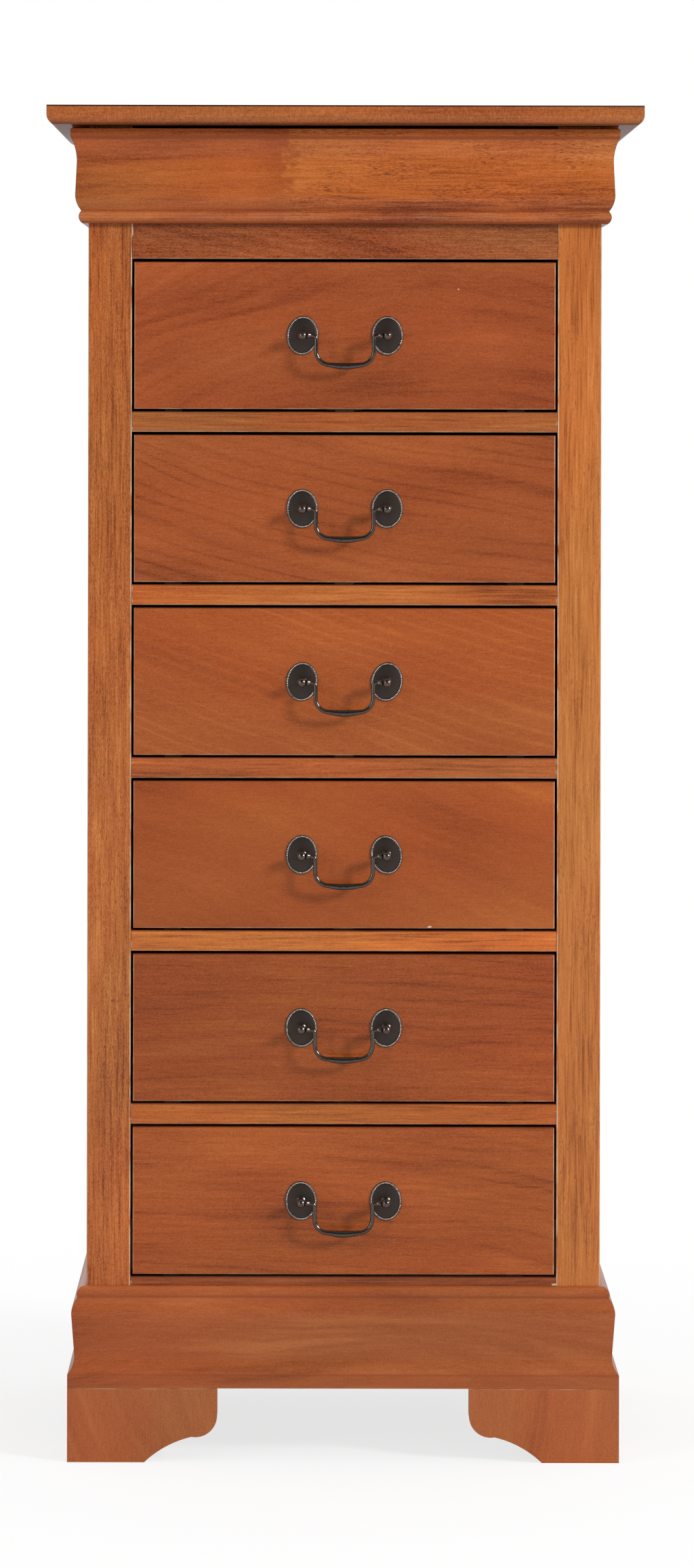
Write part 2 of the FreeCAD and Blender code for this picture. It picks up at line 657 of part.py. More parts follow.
def bail(number):
    """Swinging bail: round pins, flared collars, bent arms and a grip that swells in the middle."""
    axis = V(0, PIVOT_Y, pull_height(number))
    half = bail_path()
    whole = half + [(-x, down, radius) for x, down, radius in reversed(half[:-1])]
    points = [axis + V(x, 0, -down) for x, down, radius in whole]
    runs = [(b - a).normalize() for a, b in zip(points, points[1:])]
    rings = []
    for place, point in enumerate(points):
        before = runs[max(place - 1, 0)]
        after = runs[min(place, len(runs) - 1)]
        along = (before + after).normalize()
        across = along.cross(V(0, 1, 0)) / along.dot(after)
        radius = whole[place][2]
        rings.append(ring(point, V(0, radius, 0), across * radius, HARDWARE_SIDES))
    rod = faceted(rings)
    pins = []
    for side in (-1, 1):
        root = axis + V(side * half[0][0], 0, 0)
        pins.append(Part.makeCylinder(PIN_RADIUS, PULL_PITCH / 2 - half[0][0], root, V(side, 0, 0)))
    return rod.fuse(pins).Solids[0]


def pieces():
    """Every node by name, with its solids."""
    numbers = range(1, DRAWERS + 1)
    levels = front_rail_levels()
    nodes = {
        "top_panel": [top_panel()],
        "left_side_panel": [side_panel(-1)],
        "right_side_panel": [side_panel(1)],
        "back_panel": [back_panel()],
        "left_stile": [stile(-1)],
        "right_stile": [stile(1)],
        "bottom_rail": [front_rail(*levels[0])],
        "divider_rails": [front_rail(*level) for level in levels[1:-1]],
        "top_rail": [front_rail(*levels[-1])],
        "rear_rails": [rear_rail(number) for number in range(DRAWERS + 1)],
        "centre_guides": [centre_guide(number) for number in range(DRAWERS + 1)],
        "glide_pads": [glide_pad(number, side) for number in range(DRAWERS + 1) for side in (-1, 1)],
        "left_cornice": [side_cornice(-1)],
        "right_cornice": [side_cornice(1)],
        "front_base": [base_front()],
        "left_base": [base_side(-1)],
        "right_base": [base_side(1)],
        "front_left_foot": front_foot(-1),
        "front_right_foot": front_foot(1),
        "rear_left_foot": rear_foot(-1),
        "rear_right_foot": rear_foot(1),
        "hidden_drawer_cornice": [cornice_front()],
        "hidden_drawer_box": [front_board(0, CORNICE_REAR_Y, CORNICE_TOP)] + drawer_box(0),
        "hidden_drawer_bottom": [bottom_panel(0), guide_channel(0)],
    }
    for number in numbers:
        nodes[f"drawer_{number}_front"] = [drawer_front(number)]
        nodes[f"drawer_{number}_box"] = drawer_box(number)
        nodes[f"drawer_{number}_bottom"] = [bottom_panel(number), guide_channel(number)]
        nodes[f"pull_{number}_rosettes"] = [rosette(number, side) for side in (-1, 1)]
        nodes[f"pull_{number}_posts"] = [make(number, side) for side in (-1, 1) for make in (post, nut)]
        nodes[f"pull_{number}_bail"] = [bail(number)]
    return nodes


os.makedirs("parts", exist_ok=True)
for name, solids in pieces().items():
    shape = solids[0] if len(solids) == 1 else Part.makeCompound(solids)
    shape.exportStep(f"parts/{name}.step")
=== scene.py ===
import json
import math

import bmesh
import bpy
import numpy as np
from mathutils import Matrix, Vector

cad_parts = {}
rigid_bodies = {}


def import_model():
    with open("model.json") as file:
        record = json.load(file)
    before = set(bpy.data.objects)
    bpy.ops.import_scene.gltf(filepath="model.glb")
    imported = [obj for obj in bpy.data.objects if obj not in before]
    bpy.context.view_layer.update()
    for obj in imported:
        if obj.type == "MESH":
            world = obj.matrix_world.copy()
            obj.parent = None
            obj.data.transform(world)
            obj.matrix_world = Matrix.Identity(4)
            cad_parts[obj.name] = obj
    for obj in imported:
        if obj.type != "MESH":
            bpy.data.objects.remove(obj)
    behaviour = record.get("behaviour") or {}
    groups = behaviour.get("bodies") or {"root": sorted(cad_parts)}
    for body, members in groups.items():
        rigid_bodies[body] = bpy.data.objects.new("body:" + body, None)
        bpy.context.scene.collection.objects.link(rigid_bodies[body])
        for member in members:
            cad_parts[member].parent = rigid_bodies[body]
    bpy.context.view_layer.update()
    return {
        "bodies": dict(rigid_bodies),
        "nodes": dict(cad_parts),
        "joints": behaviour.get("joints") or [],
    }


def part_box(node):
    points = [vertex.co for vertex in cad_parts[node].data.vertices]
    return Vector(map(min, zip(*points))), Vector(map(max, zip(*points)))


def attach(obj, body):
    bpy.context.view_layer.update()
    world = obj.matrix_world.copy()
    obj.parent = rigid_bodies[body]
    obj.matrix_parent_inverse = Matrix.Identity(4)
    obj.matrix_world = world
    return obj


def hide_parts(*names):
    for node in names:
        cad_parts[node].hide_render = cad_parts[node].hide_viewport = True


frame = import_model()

# Stiles and side panels. The stiles are solid posts at the front corners and the panels are veneered boards
# glued to them. All are stained golden cherry with the grain upright, then sprayed with satin lacquer.
STILE_TONES = {"left": ((0.560, 0.195, 0.048), (0.425, 0.116, 0.026), (0.205, 0.044, 0.011)),
               "right": ((0.630, 0.240, 0.062), (0.505, 0.162, 0.036), (0.285, 0.073, 0.015))}
STILE_FIGURES = {"left": dict(fibre=4.4, open=0.06), "right": dict(fibre=2.4, open=0.01, shift=(2.3, 2.3, 0))}
PANEL_SHIFTS = {"left": (0, 1.7, 0), "right": (0, 4.0, 0)}
STILE_EDGE = (0.0012, 0.0006)
STILE_EDGE_NOISE = (0.006, 0.02, 3.0)
STILE_EDGE_BREAKS = (-0.18, 0.15)
CHAMFERS = (0.15, 0.40)
UPWARD = (0.3, 0.5)
WEAR_NOISE = {"Scale": 55.0, "Detail": 4.0}
WEAR_PATCHES = (0.36, 0.66)
WEAR_LEAST = 0.4
RAW_EDGE = (0.66, 0.46, 0.30, 1)
# Colour of the painted shade on chamfers that face up, and its share of the wear amount.
PAINTED_CHAMFER_SHADE = (0.060, 0.018, 0.006, 1)
PAINTED_CHAMFER_SHADE_SHARE = 0.75
# Share of the painted shade in the quirks and hollows of mouldings.
PAINTED_SHADE_SHARE = 0.55
FIBRE_LIGHT = (0.075, 0.032, 0.017)
FIBRE_RELIEF = 0.5
FIBRE_DULLNESS = 0.12
LONG_FIBRES = 0.6
PORE_SLITS = (0.12, 0.22)
PORE_PATCHES = (-0.12, 0.12)
PORE_SHADE = (0.03, 0.01, 0.004, 1)
PORE_SHADE_SHARE = 0.45
PORE_DULLNESS = 0.25
HUE_DRIFT = (-0.20, 0.20)
BLUSH_RED = (1.07, 0.90, 0.84, 1)
BLUSH_GOLD = (0.94, 1.10, 1.16, 1)
DARK_TONES = (-0.75, 0.05)
LIGHT_TONES = (-0.05, 0.75)
RIPPLE_RISE = 0.004
LINE_JITTER = 12.0
LINE_SHARPNESS = 5.0
LINE_FADING = (-0.30, 0.15)
WORN_DULLNESS = 0.25
GRAIN_RELIEF = {"Strength": 0.35, "Distance": 0.0002}
LACQUER = {"Specular IOR Level": 0.16, "Coat Weight": 0.35, "Coat Roughness": 0.17}
GRAIN_TURN = {"x": (0, 0, 0), "y": (0, 0, -math.pi / 2), "z": (0, math.pi / 2, 0)}
USUAL_FIGURE = {"Figure": 1.0, "Lines": 0.0, "Streaks": 0.7, "Fibre": 0.5, "Pores": 0.3, "Open": 0.0,
                "Slope": 0.0, "Bow": 0.0, "Wave": 0.05, "Spacing": 0.013, "Shade": 0.8, "Blush": 0.5}

# Length along the grain, width across it, detail and roughness of each pattern in the wood.
PATTERNS = {"sway": (0.30, 0.10, 1.0), "ripple": (0.10, 0.04, 1.0), "figure": (0.20, 0.026, 4.0, 0.58),
            "uneven lines": (0.9, 0.030, 1.0), "faded lines": (0.35, 0.035, 1.0), "shade": (0.20, 0.075, 1.0),
            "streaks": (0.055, 0.0018, 2.0, 0.6), "hue": (0.26, 0.095, 1.0), "pores": (0.0055, 0.0006, 1.0),
            "porous patches": (0.06, 0.022, 2.0), "long fibres": (0.010, 0.0008, 2.0),
            "short fibres": (0.0018, 0.0008, 1.0)}


def feed(tree, node, inputs):
    """Link each named or numbered input of a node to a socket, or set it to a value."""
    for name, value in inputs.items():
        if isinstance(value, bpy.types.NodeSocket):
            tree.links.new(value, node.inputs[name])
        else:
            node.inputs[name].default_value = value


def add_node(tree, kind, inputs, **settings):
    """One shader node with its settings and inputs."""
    made = tree.nodes.new("ShaderNode" + kind)
    for name, value in settings.items():
        setattr(made, name, value)
    feed(tree, made, inputs)
    return made


def math_node(tree, operation, *given, clamp=False):
    """Result of one operation on values or sockets."""
    return add_node(tree, "Math", dict(enumerate(given)), operation=operation, use_clamp=clamp).outputs[0]


def plus(tree, first, second):
    """Sum of two values or sockets."""
    return math_node(tree, "ADD", first, second)


def times(tree, first, second, clamp=False):
    """Product of two values or sockets."""
    return math_node(tree, "MULTIPLY", first, second, clamp=clamp)


def vector_node(tree, operation, *given, output="Vector"):
    """Result of one operation on vectors."""
    return add_node(tree, "VectorMath", dict(enumerate(given)), operation=operation).outputs[output]


def axes(tree, vector):
    """The three parts of a vector, by the names X, Y and Z."""
    return add_node(tree, "SeparateXYZ", {0: vector}).outputs


def ramp(tree, value, low, high, start=0.0):
    """Smooth step of a value from start at low to 1 at high."""
    inputs = {"Value": value, "From Min": low, "From Max": high, "To Min": start}
    return add_node(tree, "MapRange", inputs, interpolation_type="SMOOTHSTEP").outputs["Result"]


def mix(tree, factor, first, second, blend="MIX"):
    """Colour between two others, or one blended over the other."""
    made = add_node(tree, "Mix", {0: factor, 6: first, 7: second}, data_type="RGBA", blend_type=blend)
    return made.outputs[2]


def brightened(tree, colour, factor):
    """Colour times a factor."""
    return add_node(tree, "VectorMath", {0: colour, "Scale": factor}, operation="SCALE").outputs[0]


def grain_noise(tree, vector, along, across, detail, roughness=0.5):
    """Noise whose blobs are along metres long on x and across metres wide on y and z, centred on 0."""
    scaled = vector_node(tree, "MULTIPLY", vector, (1 / along, 1 / across, 1 / across))
    inputs = {"Vector": scaled, "Scale": 1.0, "Detail": detail, "Roughness": roughness}
    return math_node(tree, "SUBTRACT", add_node(tree, "TexNoise", inputs).outputs["Fac"], 0.5)


def new_group(name, inputs, outputs):
    """Empty shader node group with named sockets: its tree, what it is given, and its output node."""
    tree = bpy.data.node_groups.new(name, "ShaderNodeTree")
    for direction, sockets in (("INPUT", inputs), ("OUTPUT", outputs)):
        for title, kind in sockets.items():
            tree.interface.new_socket(title, in_out=direction, socket_type="NodeSocket" + kind)
    return tree, tree.nodes.new("NodeGroupInput").outputs, tree.nodes.new("NodeGroupOutput")


def build_wood_group():
    """Stained wood, grain along x: sloped figure and growth lines over level streaks, fibres and pores.

    The figure lies at the height z + Slope x + Bow x^2 + Wave times sway, where sway is a slow noise. The
    tone adds up figure, growth lines, streaks and slow shade, each times the input of its name. It is shown
    from Dark through Middle to Light, and FIBRE_LIGHT times Fibre is added for the fibres. Growth lines are
    the crests ((1 + sin) / 2)^LINE_SHARPNESS of a wave in that height, Spacing metres long, unevenly set and
    faded in places. Blush drifts the hue between red and gold.
    """
    tree, given, result = new_group(
        "stained_wood",
        {"Vector": "Vector", "Light": "Color", "Middle": "Color", "Dark": "Color",
         **dict.fromkeys(USUAL_FIGURE, "Float")},
        {"Color": "Color", "Height": "Float", "Gloss Loss": "Float"})
    place = given["Vector"]

    def pattern(name, vector=place):
        """Noise of one of the PATTERNS."""
        return grain_noise(tree, vector, *PATTERNS[name])

    along = axes(tree, place)["X"]
    slant = plus(tree, given["Slope"], times(tree, along, given["Bow"]))
    sway = times(tree, pattern("sway"), given["Wave"])
    ripple = times(tree, pattern("ripple"), RIPPLE_RISE)
    lift = plus(tree, plus(tree, times(tree, along, slant), sway), ripple)
    bent, level = [vector_node(tree, "ADD", place, add_node(tree, "CombineXYZ", {"Z": rise}).outputs[0])
                   for rise in (lift, ripple)]
    turns = math_node(tree, "DIVIDE", axes(tree, bent)["Z"], given["Spacing"])
    uneven = times(tree, pattern("uneven lines", bent), LINE_JITTER)
    phase = plus(tree, times(tree, turns, 2 * math.pi), uneven)
    crest = plus(tree, times(tree, math_node(tree, "SINE", phase), 0.5), 0.5)
    faded = ramp(tree, pattern("faded lines", bent), *LINE_FADING)
    lines = times(tree, math_node(tree, "POWER", crest, LINE_SHARPNESS), faded)
    shares = {"Lines": lines, "Streaks": pattern("streaks", level), "Shade": pattern("shade")}
    tone = times(tree, pattern("figure", bent), given["Figure"])
    for name, share in shares.items():
        tone = plus(tree, tone, times(tree, share, given[name]))
    colour = mix(tree, ramp(tree, tone, *DARK_TONES), given["Dark"], given["Middle"])
    colour = mix(tree, ramp(tree, tone, *LIGHT_TONES), colour, given["Light"])
    tint = mix(tree, ramp(tree, pattern("hue"), *HUE_DRIFT), BLUSH_RED, BLUSH_GOLD)
    colour = mix(tree, given["Blush"], colour, tint, "MULTIPLY")
    long_fibres = times(tree, pattern("long fibres", level), LONG_FIBRES)
    fibres = plus(tree, long_fibres, pattern("short fibres", level))
    colour = vector_node(tree, "MULTIPLY_ADD", FIBRE_LIGHT, times(tree, fibres, given["Fibre"]), colour)
    dashes = ramp(tree, plus(tree, pattern("pores", level), given["Open"]), *PORE_SLITS)
    patches = ramp(tree, pattern("porous patches"), *PORE_PATCHES)
    pores = times(tree, times(tree, dashes, patches), given["Pores"])
    pore_colour = mix(tree, PORE_SHADE_SHARE, given["Dark"], PORE_SHADE)
    dull = plus(tree, times(tree, fibres, FIBRE_DULLNESS), times(tree, pores, PORE_DULLNESS))
    feed(tree, result, {"Color": mix(tree, pores, colour, pore_colour), "Gloss Loss": dull,
                        "Height": math_node(tree, "SUBTRACT", times(tree, fibres, FIBRE_RELIEF), pores)})
    return tree


def build_worn_edge_group():
    """Lacquer rubbed through along edges: raw wood where the edge mask and a patchy noise agree."""
    tree, given, result = new_group(
        "worn_edge", {"Color": "Color", "Vector": "Vector", "Mask": "Float", "Amount": "Float"},
        {"Color": "Color", "Wear": "Float"})
    noise = add_node(tree, "TexNoise", {"Vector": given["Vector"], **WEAR_NOISE}).outputs["Fac"]
    patchy = ramp(tree, noise, *WEAR_PATCHES, start=WEAR_LEAST)
    wear = times(tree, times(tree, patchy, given["Mask"]), given["Amount"], clamp=True)
    feed(tree, result, {"Color": mix(tree, wear, given["Color"], RAW_EDGE), "Wear": wear})
    return tree


WOOD_GROUP = build_wood_group()
WORN_EDGE_GROUP = build_worn_edge_group()


def new_material(name):
    """New material, its node tree, its Principled shader and its texture coordinates."""
    material = bpy.data.materials.new(name)
    material.use_nodes = True
    tree = material.node_tree
    return material, tree, tree.nodes["Principled BSDF"], add_node(tree, "TexCoord", {}).outputs


def opaque(colour):
    """Colour with an alpha of 1."""
    return (*colour, 1)


def stain(tree, vector, tones, figure):
    """Outputs of the stained_wood group, given three tones and what differs from the USUAL_FIGURE."""
    inputs = {"Vector": vector, **dict(zip(("Light", "Middle", "Dark"), map(opaque, tones))), **USUAL_FIGURE,
              **{name.capitalize(): value for name, value in figure.items()}}
    return add_node(tree, "Group", inputs, node_tree=WOOD_GROUP).outputs


def arris_masks(tree, where):
    """Edge masks of a board: 1 on its chamfers, where the surface faces between two axes, and 0 on its faces.

    The first holds the chamfers that face down or sideways, the second those that face up, which get painted
    shade.
    """
    facing = axes(tree, where["Normal"])
    x, y, z = [math_node(tree, "ABSOLUTE", part) for part in facing]
    pairs = plus(tree, plus(tree, times(tree, x, y), times(tree, y, z)), times(tree, x, z))
    edge = ramp(tree, pairs, *CHAMFERS)
    upward_painted_shade = times(tree, edge, ramp(tree, facing["Z"], *UPWARD))
    return math_node(tree, "SUBTRACT", edge, upward_painted_shade), upward_painted_shade


def wood_material(name, grain, tones, wear=0.5, roughness=0.40, shift=(0, 0, 0), moulded=False,
                  paint=None, **figure):
    """Lacquered wood: the stained_wood group turned along the grain, worn edges, painted shade in the
    recesses of mouldings or on upward chamfers, and a satin clear coat.

    paint(tree, vector, colour) may add marks that only this piece has and returns the new colour.
    """
    material, tree, shader, where = new_material(name)
    place = where["Object"]
    turned = add_node(tree, "Mapping", {"Vector": place, "Rotation": GRAIN_TURN[grain], "Location": shift})
    wood = stain(tree, turned.outputs[0], tones, figure)
    colour = paint(tree, place, wood["Color"]) if paint else wood["Color"]
    if moulded:
        # Painted shade in the moulding's quirks and under bead and fillet, from a point attribute.
        painted_shade, mask = [add_node(tree, "Attribute", {}, attribute_name=title).outputs["Fac"]
                        for title in ("painted_shade", "arris")]
        colour = mix(tree, times(tree, painted_shade, PAINTED_SHADE_SHARE), colour, opaque(tones[2]))
    else:
        # Painted shade on the chamfers that face up, scaled by the wear amount.
        mask, upward_painted_shade = arris_masks(tree, where)
        colour = mix(tree, times(tree, upward_painted_shade, wear * PAINTED_CHAMFER_SHADE_SHARE), colour, PAINTED_CHAMFER_SHADE)
    worn = add_node(tree, "Group", {"Color": colour, "Vector": place, "Mask": mask, "Amount": wear},
                    node_tree=WORN_EDGE_GROUP).outputs
    dull = plus(tree, wood["Gloss Loss"], times(tree, worn["Wear"], WORN_DULLNESS))
    bump = add_node(tree, "Bump", {"Height": wood["Height"], **GRAIN_RELIEF})
    feed(tree, shader, {"Base Color": worn["Color"], "Roughness": plus(tree, dull, roughness),
                        "Normal": bump.outputs[0], **LACQUER})
    return material


def dress(material, *nodes):
    """Give CAD nodes one material."""
    for name in nodes:
        slots = frame["nodes"][name].data.materials
        slots.clear()
        slots.append(material)


def inner_edge(tree, vector, colour):
    """Broken pale line along the last millimetre of a stile towards the drawers."""
    reach = math_node(tree, "ABSOLUTE", axes(tree, vector)["X"])
    line = ramp(tree, reach, *[opening_half + step for step in STILE_EDGE])
    broken = ramp(tree, grain_noise(tree, vector, *STILE_EDGE_NOISE), *STILE_EDGE_BREAKS)
    return mix(tree, times(tree, line, broken), colour, RAW_EDGE)


opening_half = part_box("right_stile")[0].x
for side, tones in STILE_TONES.items():
    dress(wood_material(
        f"{side}_stile_wood", "z", tones, figure=1.2, lines=-0.12, streaks=2.1, pores=0.7, wave=0.02,
        wear=0.60, paint=inner_edge, **STILE_FIGURES[side]), f"{side}_stile")
    dress(wood_material(
        f"{side}_panel_veneer", "z", STILE_TONES["left"], figure=0.9, lines=-0.16, streaks=1.3, fibre=1.8,
        pores=0.45, wear=0.2, shift=PANEL_SHIFTS[side]), f"{side}_side_panel")

# Front rails. Straight bars of the same stained wood tenoned into the stiles, with the grain across and their
# long edges eased by sandpaper, which leaves them a little pale.
RAIL_TONES = ((0.480, 0.160, 0.042), (0.350, 0.098, 0.023), (0.180, 0.042, 0.011))
# The top rail's darker tones are partly its wood and partly painted shade under the cornice.
TOP_RAIL_TONES_WITH_PAINTED_SHADE = ((0.378, 0.116, 0.035), (0.274, 0.072, 0.021), (0.150, 0.036, 0.011))
RAIL_TINTS = {1: (0.97, 0.95, 0.97), 2: (1.25, 1.11, 0.97), 3: (1.13, 1.03, 1.02), 4: (1.52, 1.43, 1.14),
              5: (1.15, 1.06, 0.80), 6: (0.76, 0.60, 0.62)}
RAIL_MIDDLE = 0.012
RAIL_REACH = 0.020
# Dark colour of the joint lines, also used for the darker upper edge of the top and the painted shade under
# its rounding.
DARK_JOINT_AND_PAINTED_SHADE = (0.035, 0.012, 0.006, 1)
SHOULDER_LINE = (0.0008, 0.0004)
SHOULDER_LINE_SHARE = 0.85
SHOULDER_FLECKS = (0.0016, 0.0008)
SHOULDER_FLECKS_SHARE = 0.7
FLECK_NOISE = (0.01, 0.006, 3.0)
FLECK_SPOTS = (0.02, 0.16)
CHIP_NOISE = (0.0015, 0.0015, 2.0)
CHIP_EDGE = (1.1, 0.7)
front_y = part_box("left_stile")[0].y
first_rail_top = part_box("drawer_1_front")[0].z
drawer_pitch = first_rail_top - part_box("drawer_2_front")[0].z
OPENED_JOINT = ((-opening_half, front_y, 1.160), (0.0009, 0.02, 0.008))
BOTTOM_RAIL_CHIP = ((opening_half - 0.002, front_y, 0.1650), (0.0026, 0.02, 0.0010))


def shoulder_line(tree, vector, colour):
    """Dark line, with broken pale flecks beside it, where a rail's shoulders meet the stiles."""
    reach = math_node(tree, "ABSOLUTE", axes(tree, vector)["X"])
    beside = ramp(tree, reach, *[opening_half - step for step in SHOULDER_FLECKS])
    spots = ramp(tree, grain_noise(tree, vector, *FLECK_NOISE), *FLECK_SPOTS)
    flecks = times(tree, times(tree, beside, spots), SHOULDER_FLECKS_SHARE)
    line = ramp(tree, reach, *[opening_half - step for step in SHOULDER_LINE])
    colour = mix(tree, flecks, colour, RAW_EDGE)
    return mix(tree, times(tree, line, SHOULDER_LINE_SHARE), colour, DARK_JOINT_AND_PAINTED_SHADE)


def chip(tree, vector, colour, centre, half):
    """Small chip to bare wood: an oval about a centre, half its size each way, with a ragged outline."""
    place = vector_node(tree, "DIVIDE", vector_node(tree, "SUBTRACT", vector, centre), half)
    reach = vector_node(tree, "LENGTH", place, output="Value")
    ragged = plus(tree, reach, grain_noise(tree, vector, *CHIP_NOISE))
    return mix(tree, ramp(tree, ragged, *CHIP_EDGE), colour, RAW_EDGE)


def top_rail_marks(tree, vector, colour):
    """Shoulder lines, and a pale opened joint at the left end."""
    return chip(tree, vector, shoulder_line(tree, vector, colour), *OPENED_JOINT)


def rail_by_rail(tree, vector, colour):
    """Tint of each divider rail and the bottom rail, counted from the top, then shoulder lines and a chip."""
    height = axes(tree, vector)["Z"]
    for number, tint in RAIL_TINTS.items():
        middle = first_rail_top - (number - 1) * drawer_pitch - RAIL_MIDDLE
        here = math_node(tree, "COMPARE", height, middle, RAIL_REACH)
        colour = mix(tree, here, colour, opaque(tint), "MULTIPLY")
    return chip(tree, vector, shoulder_line(tree, vector, colour), *BOTTOM_RAIL_CHIP)


dress(wood_material(
    "rail_wood", "x", RAIL_TONES, figure=1.6, lines=-0.15, streaks=1.7, fibre=2.2, pores=0.65, wave=0.03,
    blush=0.6, wear=0.75, shift=(0.4, 0, 3.1), paint=rail_by_rail), "divider_rails", "bottom_rail")
dress(wood_material(
    "top_rail_wood", "x", TOP_RAIL_TONES_WITH_PAINTED_SHADE, figure=2.1, lines=0.22, streaks=1.5, fibre=4.4, pores=0.55,
    open=0.04, slope=-0.12, bow=0.3, wave=0.06, shade=1.4, blush=0.8, wear=0.6, shift=(0.9, 0, 1.3),
    paint=top_rail_marks), "top_rail")

# Inner frame. Rear rails, centre guides and drawer boxes are pale rubberwood with a thin sealer, the boxes
# dovetailed to their fronts. The back and the drawer bottoms are thin plywood, let into grooves.
INNER_TONES = ((0.640, 0.455, 0.270), (0.545, 0.360, 0.200), (0.430, 0.260, 0.135))
INNER_FIGURE = dict(figure=0.7, streaks=0.6, pores=0.35, wear=0.0, roughness=0.55)
PLY_TONES = ((0.560, 0.385, 0.225), (0.470, 0.305, 0.170), (0.365, 0.220, 0.115))
PLY_FIGURE = dict(streaks=0.5, fibre=0.4, wear=0.0)
drawers = range(1, sum(name.startswith("drawer_") for name in frame["bodies"]) + 1)
dress(wood_material("inner_wood_across", "x", INNER_TONES, **INNER_FIGURE), "rear_rails")
dress(wood_material("inner_wood_deep", "y", INNER_TONES, **INNER_FIGURE),
      "centre_guides", "hidden_drawer_box", *[f"drawer_{n}_box" for n in drawers])
dress(wood_material("back_plywood", "z", PLY_TONES, figure=1.4, pores=0.5, wave=0.09, roughness=0.65,
                    **PLY_FIGURE), "back_panel")
dress(wood_material("bottom_plywood", "x", PLY_TONES, figure=1.2, pores=0.4, wave=0.08, roughness=0.62,
                    **PLY_FIGURE), "hidden_drawer_bottom", *[f"drawer_{n}_bottom" for n in drawers])

# Glide pads. Small strips of brown nylon tacked to each front rail, on which the drawer sides slide; the
# drawers have scuffed them paler in places.
NYLON = (0.030, 0.013, 0.008, 1)
NYLON_SCUFF = (0.045, 0.020, 0.012, 1)
NYLON_ROUGHNESS = 0.35
SCUFF_NOISE = (0.002, 0.02, 3.0)
SCUFF_SPOTS = (0.0, 0.2)
SCUFF_ROUGHNESS = 0.2
nylon, pad_tree, pad_shader, pad_where = new_material("glide_nylon")
scuffs = ramp(pad_tree, grain_noise(pad_tree, pad_where["Object"], *SCUFF_NOISE), *SCUFF_SPOTS)
rough = plus(pad_tree, times(pad_tree, scuffs, SCUFF_ROUGHNESS), NYLON_ROUGHNESS)
feed(pad_tree, pad_shader, {"Base Color": mix(pad_tree, scuffs, NYLON, NYLON_SCUFF),
                            "Roughness": rough, "Specular IOR Level": 0.15})
dress(nylon, "glide_pads")

# Base moulding. A square fillet, an ogee and a bead run round the front and both sides, shaped from one
# length of reddish stained wood, mitred at the front corners and glued to the case.
BASE_TONES = ((0.415, 0.120, 0.034), (0.328, 0.080, 0.020), (0.220, 0.047, 0.011))
BASE_FIGURE = dict(fibre=2.0, pores=0.25, wave=0.08, blush=0.4, wear=0.15, moulded=True)
BASE_HEIGHT = 0.094
BASE_FILLET = (0.0174, 0.0128)
BASE_NECK = (0.0110, 0.0290)
BASE_BELLY = (0.0139, BASE_HEIGHT - 0.0250)
BASE_QUIRK = (0.0083, BASE_HEIGHT - 0.0100)
BASE_BEAD = (0.0090, BASE_HEIGHT - 0.0070)
ARC_POINTS = 14
STRAIGHT_STEP = 0.001
EDGE_SPREAD = 0.0009
SOFT_EDGE = 0.0005
SOFT_EDGE_ANGLE = math.radians(40)
SIDES = {"left": -1, "right": 1}
scene = bpy.context.scene


def upright_arc(upright, other):
    """Points of the circle arc that leaves the first point straight up or down and ends at the other.

    The centre lies level with the first point at R = (dx^2 + dz^2) / 2|dx|, and the turn is
    atan2(|dz|, R - |dx|).
    """
    across, rise = other[0] - upright[0], other[1] - upright[1]
    radius = (across ** 2 + rise ** 2) / (2 * abs(across))
    turn = np.linspace(0, math.atan2(abs(rise), radius - abs(across)), ARC_POINTS)
    out = upright[0] + math.copysign(1, across) * radius * (1 - np.cos(turn))
    up = upright[1] + math.copysign(1, rise) * radius * np.sin(turn)
    return np.column_stack([out, up])


def straight(first, last):
    """Points strictly between two corners of an outline, about a millimetre apart."""
    count = max(2, int(math.dist(first, last) / STRAIGHT_STEP))
    share = np.linspace(0, 1, count)[1:-1, None]
    return np.array(first) * (1 - share) + np.array(last) * share


def bell(outline, spots):
    """Strength that falls off as exp(-(d / EDGE_SPREAD)^2) with the distance d from the nearest spot."""
    gaps = np.linalg.norm(outline[:, None, :] - np.array(spots)[None, :, :], axis=2).min(axis=1)
    return np.exp(-(gaps / EDGE_SPREAD) ** 2)


def tube_faces(rings, count):
    """Quads between rings of points, each closed on itself, and a cap on the first and the last ring."""
    ring = np.arange(rings - 1)[:, None] * count
    here = np.arange(count)[None, :]
    after = (here + 1) % count
    quads = np.stack([ring + here, ring + after, ring + count + after, ring + count + here], -1)
    last = (rings - 1) * count
    return quads.reshape(-1, 4).tolist() + [list(range(count)), list(range(last, last + count))]


def make_piece(name, shape, material, body, nodes, marks=None, smooth_below=35.0):
    """Mesh piece from points and faces, with outward normals, riding on a body in place of CAD nodes.

    marks gives point attributes by name, and edges flatter than smooth_below degrees are shaded smooth.
    """
    points, faces = shape
    mesh = bpy.data.meshes.new(name)
    mesh.from_pydata(points.tolist(), [], faces)
    for title, values in (marks or {}).items():
        mesh.attributes.new(title, "FLOAT", "POINT").data.foreach_set("value", values.astype(np.float32))
    work = bmesh.new()
    work.from_mesh(mesh)
    bmesh.ops.recalc_face_normals(work, faces=work.faces)
    work.to_mesh(mesh)
    work.free()
    mesh.shade_smooth()
    mesh.set_sharp_from_angle(angle=math.radians(smooth_below))
    mesh.materials.append(material)
    piece = bpy.data.objects.new(name, mesh)
    scene.collection.objects.link(piece)
    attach(piece, body)
    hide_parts(*nodes)
    return piece


def soften(piece, width=SOFT_EDGE):
    """Round the sharp edges of a piece slightly, as sanding and lacquer do."""
    bevel = piece.modifiers.new("sanded", "BEVEL")
    bevel.width = width
    bevel.segments = 2
    bevel.limit_method = "ANGLE"
    bevel.angle_limit = SOFT_EDGE_ANGLE
    bevel.harden_normals = True


